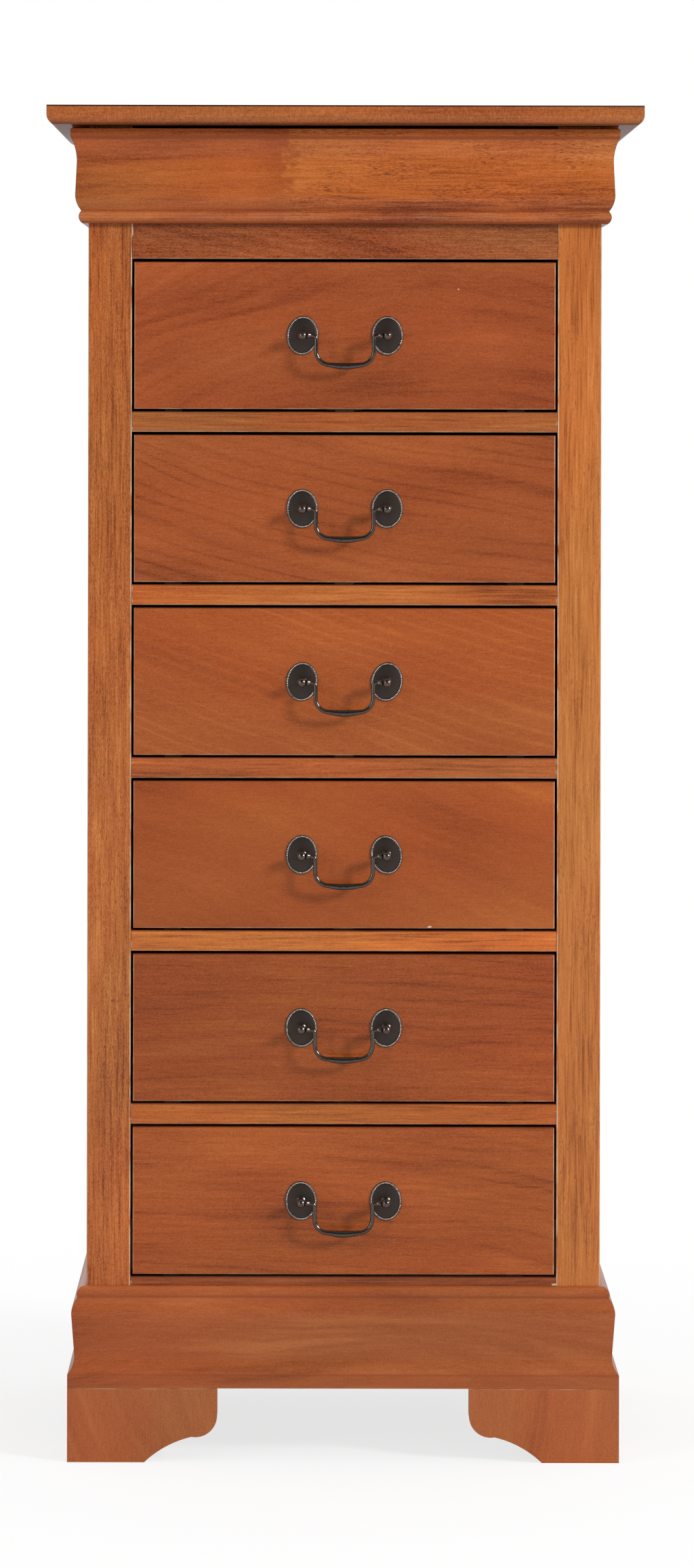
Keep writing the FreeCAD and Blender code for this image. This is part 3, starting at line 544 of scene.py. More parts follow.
def across_front(section, corner, rear_y, bottom):
    """Moulding between x = -(corner + out) and x = corner + out, at y = rear_y - out and z = bottom + up."""
    out, up = section.T
    ends = [np.column_stack([side * (corner + out), rear_y - out, bottom + up]) for side in (-1, 1)]
    return np.concatenate(ends), tube_faces(2, len(section))


def along_side(section, side, bottom):
    """Moulding at x = side (case_half + out), z = bottom + up, from the mitre y = front_y - out to back_y."""
    out, up = section.T
    x = side * (case_half + out)
    ends = [np.column_stack([x, y, bottom + up]) for y in (front_y - out, np.full_like(out, back_y))]
    return np.concatenate(ends), tube_faces(2, len(section))


base_section = np.concatenate([
    [(0, 0)], [(BASE_FILLET[0], 0)], straight((BASE_FILLET[0], 0), BASE_FILLET), [BASE_FILLET],
    upright_arc(BASE_NECK, BASE_FILLET)[::-1][1:], straight(BASE_NECK, BASE_BELLY),
    upright_arc(BASE_BELLY, BASE_QUIRK), [BASE_BEAD], upright_arc(BASE_BEAD, (0, BASE_HEIGHT))[1:]])
# The first marks are painted shade in the quirk and at the fillet; the others wear the fillet's lower edge.
base_marks = {"painted_shade": np.tile(bell(base_section, [BASE_QUIRK, BASE_FILLET]), 2),
              "arris": np.tile(bell(base_section, [(BASE_FILLET[0], 0)]), 2)}
case_half = -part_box("left_stile")[0].x
back_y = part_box("back_panel")[1].y
base_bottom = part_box("front_base")[0].z
base_wood = wood_material(
    "base_wood", "x", BASE_TONES, figure=2.2, lines=-0.15, streaks=0.6, bow=0.4, shade=1.6,
    shift=(0, 0.2, 0.7), **BASE_FIGURE)
base_side_wood = wood_material("base_side_wood", "y", BASE_TONES, figure=1.7, lines=-0.25, streaks=0.9,
                               **BASE_FIGURE)
base_front = across_front(base_section, case_half, front_y, base_bottom)
soften(make_piece("base_moulding_front", base_front, base_wood, "carcass", ["front_base"],
                  base_marks))
for word, side in SIDES.items():
    soften(make_piece(f"base_moulding_{word}", along_side(base_section, side, base_bottom), base_side_wood,
                      "carcass", [f"{word}_base"], base_marks))

# Feet. Bracket feet of the same reddish wood, sawn to a scroll with the grain upright, mitred at the front
# corners and backed by a glue block; a thin pale glue line shows where they meet the base.
FOOT_TONES = ((0.440, 0.138, 0.042), (0.364, 0.099, 0.028), (0.256, 0.062, 0.016))
FOOT_TINTS = {"front_left": 0.98, "front_right": 1.05, "rear_left": 0.98, "rear_right": 0.98}
FOOT_SLOPES = (-0.45, 0.20)
FOOT_SHIFT = 0.5
GLUE = (0.50, 0.25, 0.13, 1)
GLUE_LINE = (0.0009, 0.0004)
GLUE_NOISE = (0.02, 0.05, 3.0)
GLUE_BREAKS = (-0.10, 0.20)
foot_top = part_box("front_left_foot")[1].z


def tinted(tones, tint):
    """Three tones, each part times the same part of a tint."""
    return [tuple(part * share for part, share in zip(tone, tint)) for tone in tones]


def glue_line(tree, vector, colour):
    """Pale broken line along the last millimetre under the base."""
    line = ramp(tree, axes(tree, vector)["Z"], *[foot_top - step for step in GLUE_LINE])
    broken = ramp(tree, grain_noise(tree, vector, *GLUE_NOISE), *GLUE_BREAKS)
    return mix(tree, times(tree, line, broken), colour, GLUE)


for number, (corner, tint) in enumerate(FOOT_TINTS.items()):
    dress(wood_material(
        f"{corner}_foot_wood", "z", tinted(FOOT_TONES, (tint,) * 3), figure=1.8, lines=0.15, streaks=0.6,
        fibre=2.8, slope=FOOT_SLOPES[number % 2], wear=0.25, shift=(0, FOOT_SHIFT * number, 0),
        paint=glue_line), f"{corner}_foot")

# Top board. A wide veneered board with a solid lipping, square at its upper edge and rounded under, screwed
# down from inside; the veneer runs across and the lipping shows a fine speckled grain.
TOP_TONES = ((0.510, 0.166, 0.043), (0.402, 0.112, 0.027), (0.250, 0.058, 0.014))
TOP_ROUND_IN = 0.006
TOP_ROUND_UP = 0.009
TOP_SOFT_EDGE = 0.0007
TOP_DARK_EDGE = (0.0021, 0.0007)
# Painted shade in the lowest few millimetres under the top's rounding, and its share.
TOP_PAINTED_SHADE_UNDER = 0.0030
TOP_PAINTED_SHADE_UNDER_SHARE = 0.6
FRONT_FACE = 0.001
LIPPING = 0.007
LIPPING_NOISE = (0.0010, 0.004, 1.0)
LIPPING_SPECKLE = 0.9
top_low, top_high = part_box("top_panel")


def dark_edges(tree, vector, colour):
    """Darker along the front's upper edge, painted shade under the rounding, and the lipping's flecks."""
    place = axes(tree, vector)
    edge = ramp(tree, place["Z"], *[top_high.z - step for step in TOP_DARK_EDGE])
    front = math_node(tree, "LESS_THAN", place["Y"], top_low.y + FRONT_FACE)
    colour = mix(tree, times(tree, edge, front), colour, DARK_JOINT_AND_PAINTED_SHADE)
    # Painted shade under the rounding.
    under = ramp(tree, place["Z"], top_low.z + TOP_PAINTED_SHADE_UNDER, top_low.z)
    colour = mix(tree, times(tree, under, TOP_PAINTED_SHADE_UNDER_SHARE), colour, DARK_JOINT_AND_PAINTED_SHADE)
    lipping = math_node(tree, "LESS_THAN", place["Y"], top_low.y + LIPPING)
    speckle = times(tree, grain_noise(tree, vector, *LIPPING_NOISE), lipping)
    return brightened(tree, colour, plus(tree, times(tree, speckle, LIPPING_SPECKLE), 1.0))


def stacked_board(edge):
    """Board whose outline at each height z is its plan drawn in by an inset at the front and both sides."""
    inset, z = edge.T
    left, right, front = top_low.x + inset, top_high.x - inset, top_low.y + inset
    back = np.full_like(z, back_y)
    corners = np.stack([left, back, z, left, front, z, right, front, z, right, back, z], -1)
    return corners.reshape(-1, 3), tube_faces(len(edge), 4)


rounding = upright_arc((0, top_low.z + TOP_ROUND_UP), (TOP_ROUND_IN, top_low.z))[::-1]
top_edge = np.concatenate([rounding, [(0, top_high.z)]])
top_wood = wood_material(
    "top_wood", "x", TOP_TONES, figure=1.4, lines=-0.2, streaks=0.8, fibre=3.4, pores=0.6, wave=0.08,
    shade=1.6, wear=0.0, shift=(1.1, 0.3, 0), paint=dark_edges)
soften(make_piece("top_board", stacked_board(top_edge), top_wood, "carcass", ["top_panel"]),
       TOP_SOFT_EDGE)

# Cornice. A bead, an ogee and a fillet; the front length is the face of the hidden drawer and the two sides
# are fixed. The front is pieced from two woods: a smooth redder length, and a lighter one with open pores.
CORNICE_TONES = ((0.520, 0.163, 0.041), (0.412, 0.106, 0.022), (0.235, 0.048, 0.011))
PIECED_TONES = ((0.585, 0.176, 0.039), (0.462, 0.110, 0.020), (0.200, 0.036, 0.008))
PIECED_FIGURE = dict(figure=1.5, lines=-0.1, streaks=1.5, fibre=3.8, pores=0.75, open=0.07, wave=0.02,
                     shade=1.5, blush=0.6)
PIECED_SHIFT = (3.0, 0, 0.6)
CORNICE_HEIGHT = 0.089
BEAD_FOOT = (0.0056, 0)
BEAD_UNDER = (0.0072, 0.0012)
BEAD_NOSE = (0.0090, 0.0058)
BEAD_BROW = (0.0084, 0.0085)
CORNICE_QUIRK = (0.0066, 0.0118)
CORNICE_BELLY = (0.0122, 0.0270)
CORNICE_NECK = (0.0107, CORNICE_HEIGHT - 0.0310)
CORNICE_HOLLOW = (0.0157, CORNICE_HEIGHT - 0.0092)
CORNICE_FILLET = (0.0166, CORNICE_HEIGHT - 0.0075)
# Painted shade under bead and fillet is this many times deeper than in the quirk.
DEEP_PAINTED_SHADE = 1.5
LAND_SETBACK = 0.0018
SPLICE_X = -0.053
SPLICE_BLUR = 0.005
SPLICE_NOISE = (0.012, 0.006, 3.0)
SPLICE_WANDER = 0.05
SPLICE_DARK = 0.050
SPLICE_TINT = (0.84, 0.76, 0.74, 1)


def arc_through(first, middle, last):
    """Points of the circle through three points, from the first to the last.

    With the points as complex numbers a, b, c and q = (c - a) / (b - a), the centre is
    a + (b - a) (q - |q|^2) / (2i times the imaginary part of q).
    """
    a, b, c = [complex(*point) for point in (first, middle, last)]
    ratio = (c - a) / (b - a)
    centre = a + (b - a) * (ratio - abs(ratio) ** 2) / (2j * ratio.imag)
    start, via, end = np.angle(np.array([a, b, c]) - centre)
    sweep = (end - start) % (2 * math.pi)
    if (via - start) % (2 * math.pi) > sweep:
        sweep -= 2 * math.pi
    points = centre + abs(a - centre) * np.exp(1j * (start + sweep * np.linspace(0, 1, ARC_POINTS)))
    return np.column_stack([points.real, points.imag])


def cornice_outline(head):
    """Bead, quirk, belly, straight neck, hollow and fillet from the bottom up, then the head's corners."""
    fillet_top = (CORNICE_FILLET[0], CORNICE_HEIGHT)
    return np.concatenate([
        [(0, 0)], arc_through(BEAD_FOOT, BEAD_NOSE, CORNICE_QUIRK),
        upright_arc(CORNICE_BELLY, CORNICE_QUIRK)[::-1][1:], straight(CORNICE_BELLY, CORNICE_NECK),
        upright_arc(CORNICE_NECK, CORNICE_FILLET), straight(CORNICE_FILLET, fillet_top), [fillet_top], head])


def cornice_marks(section):
    """Painted shade along the quirk and, deeper, under bead and fillet, and the bead's worn edge."""
    painted_shade = bell(section, [CORNICE_QUIRK])
    painted_shade += DEEP_PAINTED_SHADE * bell(section, [BEAD_FOOT, BEAD_UNDER, CORNICE_FILLET, CORNICE_HOLLOW])
    return {"painted_shade": np.tile(painted_shade, 2), "arris": np.tile(bell(section, [BEAD_NOSE, BEAD_BROW]), 2)}


def second_length(tree, vector, colour):
    """The lighter length right of the splice, which wanders by millimetres; the other darkens towards it."""
    turned = add_node(tree, "Mapping", {"Vector": vector, "Location": PIECED_SHIFT}).outputs[0]
    wood = stain(tree, turned, PIECED_TONES, PIECED_FIGURE)
    place = axes(tree, vector)["X"]
    near = ramp(tree, place, SPLICE_X - SPLICE_DARK, SPLICE_X)
    colour = mix(tree, near, colour, SPLICE_TINT, "MULTIPLY")
    wander = times(tree, grain_noise(tree, vector, *SPLICE_NOISE), SPLICE_WANDER)
    beyond = ramp(tree, plus(tree, place, wander), SPLICE_X - SPLICE_BLUR, SPLICE_X + SPLICE_BLUR)
    return mix(tree, beyond, colour, wood["Color"])


front_section = cornice_outline([(0, CORNICE_HEIGHT)])
cornice_low, cornice_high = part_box("hidden_drawer_cornice")
cornice_corner = cornice_high.x - CORNICE_FILLET[0]
cornice_wood = wood_material(
    "cornice_wood", "x", CORNICE_TONES, figure=2.0, lines=-0.1, streaks=0.8, fibre=3.1, pores=0.40, wave=0.08,
    shade=1.5, blush=0.8, wear=0.16, shift=(0.5, 0, 0.2), moulded=True, paint=second_length)
cornice_front = across_front(front_section, cornice_corner, cornice_high.y, cornice_low.z)
soften(make_piece("cornice_front", cornice_front, cornice_wood, "hidden_drawer",
                  ["hidden_drawer_cornice"], cornice_marks(front_section)))
land = top_low.z - cornice_low.z
land_out = CORNICE_FILLET[0] - LAND_SETBACK
side_section = cornice_outline([(land_out, CORNICE_HEIGHT), (land_out, land), (0, land)])
cornice_side_wood = wood_material(
    "cornice_side_wood", "y", CORNICE_TONES, figure=1.2, lines=-0.1, streaks=0.9, fibre=1.0, pores=0.4,
    wave=0.06, wear=0.12, moulded=True)
for word, side in SIDES.items():
    soften(make_piece(f"cornice_{word}", along_side(side_section, side, cornice_low.z), cornice_side_wood,
                      "carcass", [f"{word}_cornice"], cornice_marks(side_section)))

# Drawer fronts. Each is one flat board of reddish cherry-stained wood with lightly eased edges, dovetailed to
# its box, and each has its own figure: some lie level, some sweep across at a slant.
DRAWER_TONES = ((0.430, 0.112, 0.030), (0.330, 0.074, 0.019), (0.205, 0.040, 0.010))
DRAWER_TINTS = {1: (1.000, 1.000, 1.000), 2: (1.020, 1.082, 1.030), 3: (1.071, 1.092, 0.884),
                4: (1.040, 1.020, 0.713), 5: (0.919, 0.855, 0.601), 6: (1.061, 1.040, 0.728)}
DRAWER_LEANS = {1: (-0.03, 0.03), 2: (-0.04, 0.01), 3: (0.0, 0.02), 4: (0.06, 0.04), 5: (0.07, 0.0),
                6: (-0.03, 0.06)}
DRAWER_SHIFTS = {1: 0.10, 2: 0.62, 3: 1.91, 4: 2.73, 5: 3.34, 6: 4.27}
DRAWER_FIGURE = dict(fibre=2.3, pores=0.35, spacing=0.014, shade=1.4, blush=0.32, wear=0.70)
DRAWER_FIGURES = {
    1: dict(figure=1.6, lines=-0.20, streaks=0.50, slope=-0.13, bow=1.0, wave=0.06),
    2: dict(figure=1.1, lines=-0.36, streaks=0.50, slope=0.24, bow=-0.35),
    3: dict(figure=0.8, lines=0.26, streaks=0.40, slope=0.34, bow=-0.20, wave=0.03, spacing=0.012),
    4: dict(figure=0.85, lines=0.10, streaks=0.35, slope=0.36, fibre=1.9),
    5: dict(figure=1.5, lines=-0.24, streaks=1.20, slope=0.02, bow=0.15, wave=0.02),
    6: dict(figure=1.35, lines=-0.26, streaks=1.00, slope=0.12, bow=0.20)}
DRAWER_CHIPS = {1: ((0.107, front_y, 1.104), (0.0009, 0.002, 0.0006)),
                4: ((0.081, front_y, 0.5022), (0.0022, 0.002, 0.0009))}


def leaning(n, across, up):
    """Paint that makes a drawer lighter by a share towards its right end and by another towards its top.

    Two of the drawers also have a chip in their face.
    """
    low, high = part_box(f"drawer_{n}_front")
    middle, half = (low + high) / 2, (high - low) / 2

    def paint(tree, vector, colour):
        """Colour times 1 + the lean, which grows with the distance from the middle."""
        place = vector_node(tree, "SUBTRACT", vector, tuple(middle))
        lean = vector_node(tree, "DOT_PRODUCT", place, (across / half.x, 0, up / half.z), output="Value")
        colour = brightened(tree, colour, plus(tree, lean, 1.0))
        return chip(tree, vector, colour, *DRAWER_CHIPS[n]) if n in DRAWER_CHIPS else colour

    return paint


for n in drawers:
    dress(wood_material(
        f"drawer_{n}_wood", "x", tinted(DRAWER_TONES, DRAWER_TINTS[n]), shift=(0, DRAWER_SHIFTS[n], 0),
        paint=leaning(n, *DRAWER_LEANS[n]), **{**DRAWER_FIGURE, **DRAWER_FIGURES[n]}), f"drawer_{n}_front")

# Rosettes. Oval plates pressed from sheet metal and clamped by the posts, blackened and rubbed: a slightly
# domed face, a narrow groove and a rim milled into small beads, which shine where the black has worn off.
BLACKENED = (0.074, 0.058, 0.050, 1)
RUBBED = (0.80, 0.73, 0.67, 1)
SMUDGE_NOISE = {"Scale": 420.0, "Detail": 3.0}
SMUDGE_CLEAR = (0.22, 0.52)
SMUDGE_ROUGHNESS = 0.16
SMUDGE_RELIEF = {"Strength": 0.12, "Distance": 0.0001}
RUBBED_SMOOTHNESS = 0.16
PULL_HALF = 0.040
ROSETTE_HALF = np.array([0.0150, 0.0185])
ROSETTE_DOME = 0.0014
ROSETTE_TILTS = {1: (6, 0), 2: (-2, 2), 3: (6, 10), 4: (4, -10), 5: (-2, 2), 6: (-2, -2)}
PLATE_EDGE = 0.0005
PLATE_THICK = 0.0007
BEADS = 68
BEAD_VALLEY = 0.4
BEAD_STEPS = 6
BEAD_RUB = 1.4
RIM_EDGE = 0.0004
RIM_WIDTH = 0.0019
RIM_HEIGHT = 0.0020
RIM_STEPS = 9
FACE_INSETS = np.array([0.0025, 0.0028, 0.0034, 0.0044, 0.0058, 0.0075, 0.0093, 0.0112, 0.0130])
pull_axes = {joint["child"]: Vector(joint["pos_m"]) for joint in frame["joints"] if joint["type"] == "hinge"}


def blackened_metal(name, roughness):
    """Darkened metal: black in the hollows, brighter where the rub attribute or a smudgy noise is high."""
    material, tree, shader, where = new_material(name)
    smudge = add_node(tree, "TexNoise", {"Vector": where["Object"], **SMUDGE_NOISE}).outputs["Fac"]
    rub = add_node(tree, "Attribute", {}, attribute_name="rub").outputs["Fac"]
    bright = times(tree, rub, ramp(tree, smudge, *SMUDGE_CLEAR), clamp=True)
    rough = plus(tree, times(tree, smudge, SMUDGE_ROUGHNESS), roughness - SMUDGE_ROUGHNESS / 2)
    rough = math_node(tree, "SUBTRACT", rough, times(tree, bright, RUBBED_SMOOTHNESS))
    bump = add_node(tree, "Bump", {"Height": smudge, **SMUDGE_RELIEF})
    feed(tree, shader, {"Base Color": mix(tree, bright, BLACKENED, RUBBED), "Roughness": rough,
                        "Normal": bump.outputs[0], "Metallic": 1.0})
    return material


def join(shapes):
    """Several shapes, each of points, faces and rub, as one."""
    points, faces, rub, start = [], [], [], 0
    for shape_points, shape_faces, shape_rub in shapes:
        points.append(shape_points)
        faces += [[start + corner for corner in face] for face in shape_faces]
        rub.append(shape_rub)
        start += len(shape_points)
    return (np.concatenate(points), faces), {"rub": np.concatenate(rub)}


def beaded_oval(centre, tilt):
    """Rosette at a centre on the drawer's face, its top leaning right by a tilt in degrees.

    At an angle u and an inset s from the edge, x = (a - s) cos u and z = (b - s) sin u, turned by the tilt.
    The height is a dome 1 - (1 - s / a)^2 inside the groove, and on the rim, which stands on a thin plain
    edge, a half round times v + (1 - v) |cos(BEADS u / 2)|, where v is BEAD_VALLEY.
    """
    u = np.arange(BEADS * BEAD_STEPS) * 2 * math.pi / (BEADS * BEAD_STEPS)
    rim = np.linspace(0, math.pi, RIM_STEPS)
    rim_inset = RIM_EDGE + RIM_WIDTH * (1 - np.cos(rim)) / 2
    dome = PLATE_THICK + ROSETTE_DOME * (1 - (1 - FACE_INSETS / ROSETTE_HALF[0]) ** 2)
    inset = np.concatenate([[0, 0, RIM_EDGE / 2], rim_inset, FACE_INSETS])[:, None]
    plain = np.concatenate([[0, PLATE_EDGE, PLATE_THICK], np.full(RIM_STEPS, PLATE_THICK), dome])[:, None]
    on_rim = np.concatenate([np.zeros(3), np.sin(rim), 0 * dome])[:, None]
    crown = np.abs(np.cos(BEADS * u / 2))[None, :]
    height = plain + (RIM_HEIGHT - PLATE_THICK) * on_rim * (BEAD_VALLEY + (1 - BEAD_VALLEY) * crown)
    across = (ROSETTE_HALF[0] - inset) * np.cos(u)[None, :]
    up = (ROSETTE_HALF[1] - inset) * np.sin(u)[None, :]
    turn = math.radians(tilt)
    x = centre[0] + across * math.cos(turn) + up * math.sin(turn)
    z = centre[2] + up * math.cos(turn) - across * math.sin(turn)
    points = np.stack([x, centre[1] - height, z], -1).reshape(-1, 3)
    rub = np.minimum(1, BEAD_RUB * on_rim * crown ** 2)
    return points, tube_faces(len(inset), len(u)), rub.ravel()


plate_metal = blackened_metal("blackened_plate", roughness=0.46)
for n in drawers:
    level = pull_axes[f"bail_{n}"].z
    shape, marks = join([beaded_oval((side * PULL_HALF, front_y, level), tilt)
                         for side, tilt in zip((-1, 1), ROSETTE_TILTS[n])])
    make_piece(f"pull_{n}_rosette_pair", shape, plate_metal, f"drawer_{n}",
               [f"pull_{n}_rosettes"], marks, smooth_below=60)

# Posts and nuts. Turned posts pass through the rosettes and the drawer front and end in a ball, drilled for
# the bail's pin; a hexagon nut clamps each one from inside the drawer.
POST_SIDES = 40
POST_NECK = 0.0029
POST_PROFILE = [(0.0046, 0.0012), (0.0046, 0.0022), (0.0043, 0.0025), (0.0034, 0.0028), (0.0029, 0.0033),
                (0.0026, 0.0044), (0.0026, 0.0100), (POST_NECK, 0.0112)]
POST_RUB = 0.05
BALL_RADIUS = 0.0047
BALL_STEPS = 18
BALL_FLAT = 0.08
BALL_RUB = 0.10
SHANK_RADIUS = 0.0020
SHANK_FRONT = 0.0015
SHANK_PAST = 0.005
NUT_HALF = 0.0040
NUT_POINTS = 36
NUT_LEVELS = [(0.86, 0.0), (1.0, 0.0005), (1.0, 0.0030), (0.86, 0.0035)]
front_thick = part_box("drawer_1_front")[1].y - front_y


def round_axis(centre, radius, out, u):
    """Points at a radius and an angle u round the post's axis, out from the drawer's face."""
    x, z = centre[0] + radius * np.cos(u), centre[2] + radius * np.sin(u)
    return np.stack([x, centre[1] - out[:, None] + 0 * u, z], -1).reshape(-1, 3)


def turned_post(centre, profile, rub):
    """Lathe shape: radius r at a distance d out from the drawer's face, swept round the post's axis."""
    radius, out = profile.T
    u = np.arange(POST_SIDES) * 2 * math.pi / POST_SIDES
    points = round_axis(centre, radius[:, None], out, u)
    return points, tube_faces(len(profile), POST_SIDES), np.repeat(rub, POST_SIDES)


def hexagon_nut(centre):
    """Nut chamfered at both ends; its radius at u is NUT_HALF / cos(u folded into a sixth of a turn)."""
    u = (np.arange(NUT_POINTS) + 0.5) * 2 * math.pi / NUT_POINTS
    folded = (u + math.pi / 6) % (math.pi / 3) - math.pi / 6
    share, back = np.array(NUT_LEVELS).T
    radius = np.minimum(NUT_HALF / np.cos(folded)[None, :], share[:, None] * NUT_HALF / math.cos(math.pi / 6))
    points = round_axis(centre, radius, -front_thick - back, u)
    return points, tube_faces(len(share), NUT_POINTS), np.zeros(len(points))


ball_turn = np.linspace(-math.acos(POST_NECK / BALL_RADIUS), math.pi / 2 - BALL_FLAT, BALL_STEPS)
post_metal = blackened_metal("blackened_post", roughness=0.26)
for n in drawers:
    axis = pull_axes[f"bail_{n}"]
    ball_out = front_y - axis.y + BALL_RADIUS * np.sin(ball_turn)
    ball = np.column_stack([BALL_RADIUS * np.cos(ball_turn), ball_out])
    shank = [(SHANK_RADIUS, -front_thick - SHANK_PAST), (SHANK_RADIUS, SHANK_FRONT)]
    profile = np.concatenate([shank, POST_PROFILE, ball])
    rub = np.repeat([0, POST_RUB, BALL_RUB], [len(shank), len(POST_PROFILE), len(ball)])
    posts = []
    for side in (-1, 1):
        centre = (side * PULL_HALF, front_y, axis.z)
        posts += [turned_post(centre, profile, rub), hexagon_nut(centre)]
    shape, marks = join(posts)
    make_piece(f"pull_{n}_post_pair", shape, post_metal, f"drawer_{n}", [f"pull_{n}_posts"],
               marks)

# Bails. Each is a cast rod bent to a swan-neck: flared collars that meet the balls, round elbows, straight
# arms and a grip that swells in the middle. Two pins in the balls let it swing.
COLLAR_GAP = 0.00035
COLLAR_X = PULL_HALF - BALL_RADIUS - COLLAR_GAP
COLLAR_LENGTH = 0.0045
COLLAR_RIM = 0.0006
COLLAR_FLARE = 1.5
COLLAR_RADIUS = 0.0036
ELBOW = 0.0033
CORNER = 0.0130
CORNER_SWELL = 0.25
DROP = 0.0277
ARM_RADIUS = 0.0020
GRIP_RADIUS = 0.0031
GRIP_BOW = 0.0012
GRIP_TAPER = 0.0138
PIN_RADIUS = 0.0015
COLLAR_POINTS = 8
ELBOW_POINTS = 9
CORNER_POINTS = 16
GRIP_POINTS = 13
ROD_SIDES = 20
ROD_RUB = 0.08
SHORTEST_STEP = 1e-9


def quarter_turn(centre_x, centre_down, radius, first, last, count):
    """Points of an arc: centre_x + R sin u across and centre_down - R cos u down, u from first to last."""
    turn = np.linspace(first, last, count)
    return np.column_stack([centre_x + radius * np.sin(turn), centre_down - radius * np.cos(turn)])


def bail_line():
    """Half of a bail from pin to grip: distance across, drop, and the rod's radius there.

    The collar narrows as (1 - t)^COLLAR_FLARE. The grip bows down by GRIP_BOW (1 - t^2) and swells as a
    quarter sine over GRIP_TAPER, after the corner has taken up the first CORNER_SWELL of it.
    """
    elbow_x = COLLAR_X - COLLAR_LENGTH
    grip_x = elbow_x - ELBOW - CORNER
    flare = np.linspace(0, 1, COLLAR_POINTS)
    collar = np.column_stack([COLLAR_X - COLLAR_RIM - (COLLAR_LENGTH - COLLAR_RIM) * flare, 0 * flare])
    elbow = quarter_turn(elbow_x, ELBOW, ELBOW, 0, -math.pi / 2, ELBOW_POINTS)[1:]
    corner = quarter_turn(grip_x, DROP - CORNER, CORNER, math.pi / 2, math.pi, CORNER_POINTS)
    share = np.linspace(1, 0, GRIP_POINTS)[1:]
    grip = np.column_stack([grip_x * share, DROP + GRIP_BOW * (1 - share ** 2)])
    pin = [(PULL_HALF, 0), (COLLAR_X, 0), (COLLAR_X, 0), (COLLAR_X - COLLAR_RIM, 0)]
    pin_radius = [PIN_RADIUS, PIN_RADIUS, COLLAR_RADIUS, COLLAR_RADIUS]
    collar_radius = ARM_RADIUS + (COLLAR_RADIUS - ARM_RADIUS) * (1 - flare) ** COLLAR_FLARE
    corner_swell = CORNER_SWELL * np.linspace(0, 1, len(corner)) ** 2
    grown = np.clip((1 - share) * grip_x / GRIP_TAPER, 0, 1)
    grip_swell = CORNER_SWELL + (1 - CORNER_SWELL) * np.sin(grown * math.pi / 2)
    swell = np.concatenate([np.zeros(len(elbow)), corner_swell, grip_swell])
    rod_radius = ARM_RADIUS + (GRIP_RADIUS - ARM_RADIUS) * swell
    line = np.concatenate([pin, collar, elbow, corner, grip])
    return line, np.concatenate([pin_radius, collar_radius, rod_radius])


def bail_rod(axis):
    """Tube round the bail's line: point + radius (cos v across the line in its plane + sin v along y)."""
    half, half_radius = bail_line()
    line = np.concatenate([half, half[-2::-1] * (-1, 1)])
    radius = np.concatenate([half_radius, half_radius[-2::-1]])[:, None]
    steps = np.diff(line, axis=0)
    lengths = np.linalg.norm(steps, axis=1, keepdims=True)
    steps = np.where(lengths > SHORTEST_STEP, steps / np.maximum(lengths, SHORTEST_STEP), (-1.0, 0.0))
    along = np.concatenate([steps[:1], steps[:-1] + steps[1:], steps[-1:]])
    along /= np.linalg.norm(along, axis=1, keepdims=True)
    v = np.arange(ROD_SIDES) * 2 * math.pi / ROD_SIDES
    x = axis.x + line[:, :1] - radius * np.cos(v) * along[:, 1:]
    z = axis.z - line[:, 1:] - radius * np.cos(v) * along[:, :1]
    y = axis.y + radius * np.sin(v)
    points = np.stack([x, y, z], -1).reshape(-1, 3)
    return points, tube_faces(len(line), ROD_SIDES), np.full(len(points), ROD_RUB)


bail_metal = blackened_metal("blackened_bail", roughness=0.22)
for n in drawers:
    shape, marks = join([bail_rod(pull_axes[f"bail_{n}"])])
    make_piece(f"pull_{n}_swing_bail", shape, bail_metal, f"bail_{n}", [f"pull_{n}_bail"],
               marks, smooth_below=50)

# Stage. A plain pale floor under soft light from a tall softbox at the left, a square one at the right and a
# sky that is brighter overhead. The camera stands level in front of the chest, 1 m above the floor.
FLOOR_HALF = 12.0
FLOOR_COLOUR = (0.52, 0.52, 0.52, 1)
FLOOR_SEEN = (0.92, 0.92, 0.92, 1)
FLOOR_WHITE_NEAR = 0.76
FLOOR_WHITE_REACH = (0.35, 1.3)
FLOOR_MIRRORED = 0.2
SKY_LOW = 0.18
SKY_RISE = 0.90
ROOM_GLOSS = 0.12
BACKDROP_EDGE = (-0.35, 0.05)
LAMPS = {"left": ((-5.6, -5.8, 2.4), (1.3, 4.4), 130.0),
         "right": ((6.9, -4.7, 4.0), (1.5, 1.5), 545.0)}
LAMP_AIM = (0, 0, 0.55)
CAMERA_SPOT = (-0.028, -5.003, 1.005)
CAMERA_ROLL = -0.0019
LENS = 117.7
SHIFT = (0.0203, -0.2488)

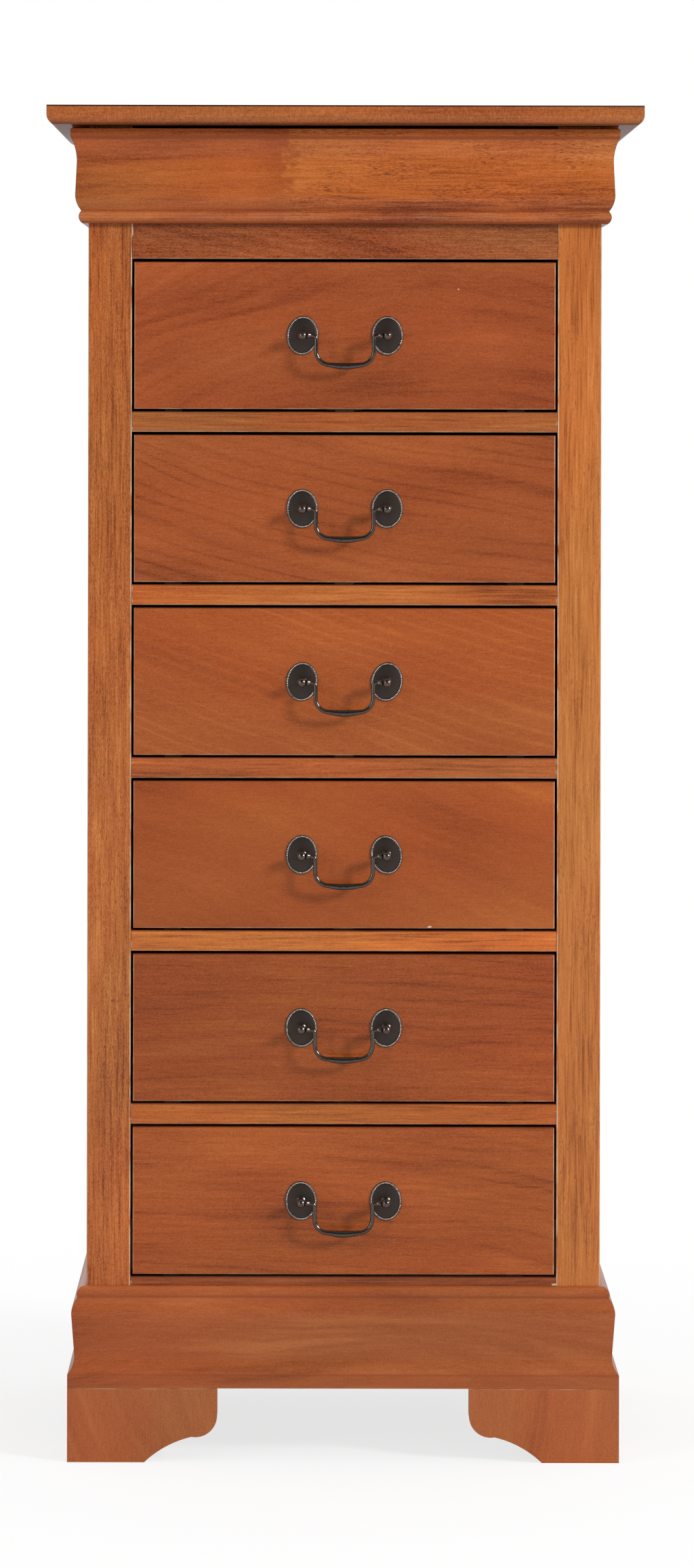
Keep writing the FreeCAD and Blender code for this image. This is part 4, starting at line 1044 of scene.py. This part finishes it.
pale_floor, tree, shader, where = new_material("pale_floor")
rays = add_node(tree, "LightPath", {}).outputs
feed(tree, shader, {"Base Color": mix(tree, rays["Is Camera Ray"], FLOOR_COLOUR, FLOOR_SEEN),
                    "Roughness": 0.9, "Specular IOR Level": 0.1})
reach = vector_node(tree, "LENGTH", where["Object"], output="Value")
mirrored = times(tree, rays["Is Glossy Ray"], FLOOR_MIRRORED)
seen = math_node(tree, "MAXIMUM", rays["Is Camera Ray"],
                 math_node(tree, "MAXIMUM", rays["Is Transmission Ray"], mirrored))
white = times(tree, seen, ramp(tree, reach, *FLOOR_WHITE_REACH, start=FLOOR_WHITE_NEAR))
glow = add_node(tree, "Emission", {}).outputs[0]
mixed = add_node(tree, "MixShader", {0: white, 1: shader.outputs[0], 2: glow})
feed(tree, tree.nodes["Material Output"], {"Surface": mixed.outputs[0]})
floor_mesh = bpy.data.meshes.new("floor")
floor_corners = [(x * FLOOR_HALF, y * FLOOR_HALF, 0) for x, y in ((-1, -1), (1, -1), (1, 1), (-1, 1))]
floor_mesh.from_pydata(floor_corners, [], [range(4)])
floor_mesh.materials.append(pale_floor)
floor = bpy.data.objects.new("floor", floor_mesh)
scene.collection.objects.link(floor)

world = bpy.data.worlds.new("studio")
world.use_nodes = True
sky = world.node_tree
rays = add_node(sky, "LightPath", {}).outputs
towards = axes(sky, add_node(sky, "TexCoord", {}).outputs["Generated"])
fill = plus(sky, times(sky, math_node(sky, "MAXIMUM", towards["Z"], 0.0), SKY_RISE), SKY_LOW)
backdrop = ramp(sky, towards["Y"], *BACKDROP_EDGE, start=ROOM_GLOSS)
mirrored = math_node(sky, "MAXIMUM", rays["Is Glossy Ray"], rays["Is Transmission Ray"])
strength = add_node(sky, "Mix", {0: mirrored, 2: fill, 3: backdrop}).outputs[0]
strength = math_node(sky, "MAXIMUM", strength, rays["Is Camera Ray"])
feed(sky, sky.nodes["Background"], {"Color": (1, 1, 1, 1), "Strength": strength})
scene.world = world

for side, (spot, size, power) in LAMPS.items():
    light = bpy.data.lights.new(f"{side}_softbox", "AREA")
    light.shape = "RECTANGLE"
    light.size, light.size_y = size
    light.energy = power
    lamp = bpy.data.objects.new(f"{side}_softbox", light)
    lamp.location = spot
    lamp.rotation_euler = (Vector(LAMP_AIM) - Vector(spot)).to_track_quat("-Z", "Y").to_euler()
    scene.collection.objects.link(lamp)

camera_data = bpy.data.cameras.new("camera")
camera_data.lens = LENS
camera_data.shift_x, camera_data.shift_y = SHIFT
camera = bpy.data.objects.new("camera", camera_data)
camera.location = CAMERA_SPOT
camera.rotation_euler = (math.pi / 2, CAMERA_ROLL, 0)
scene.collection.objects.link(camera)
bpy.context.scene.camera = camera
bpy.context.scene.view_settings.view_transform = "Standard"
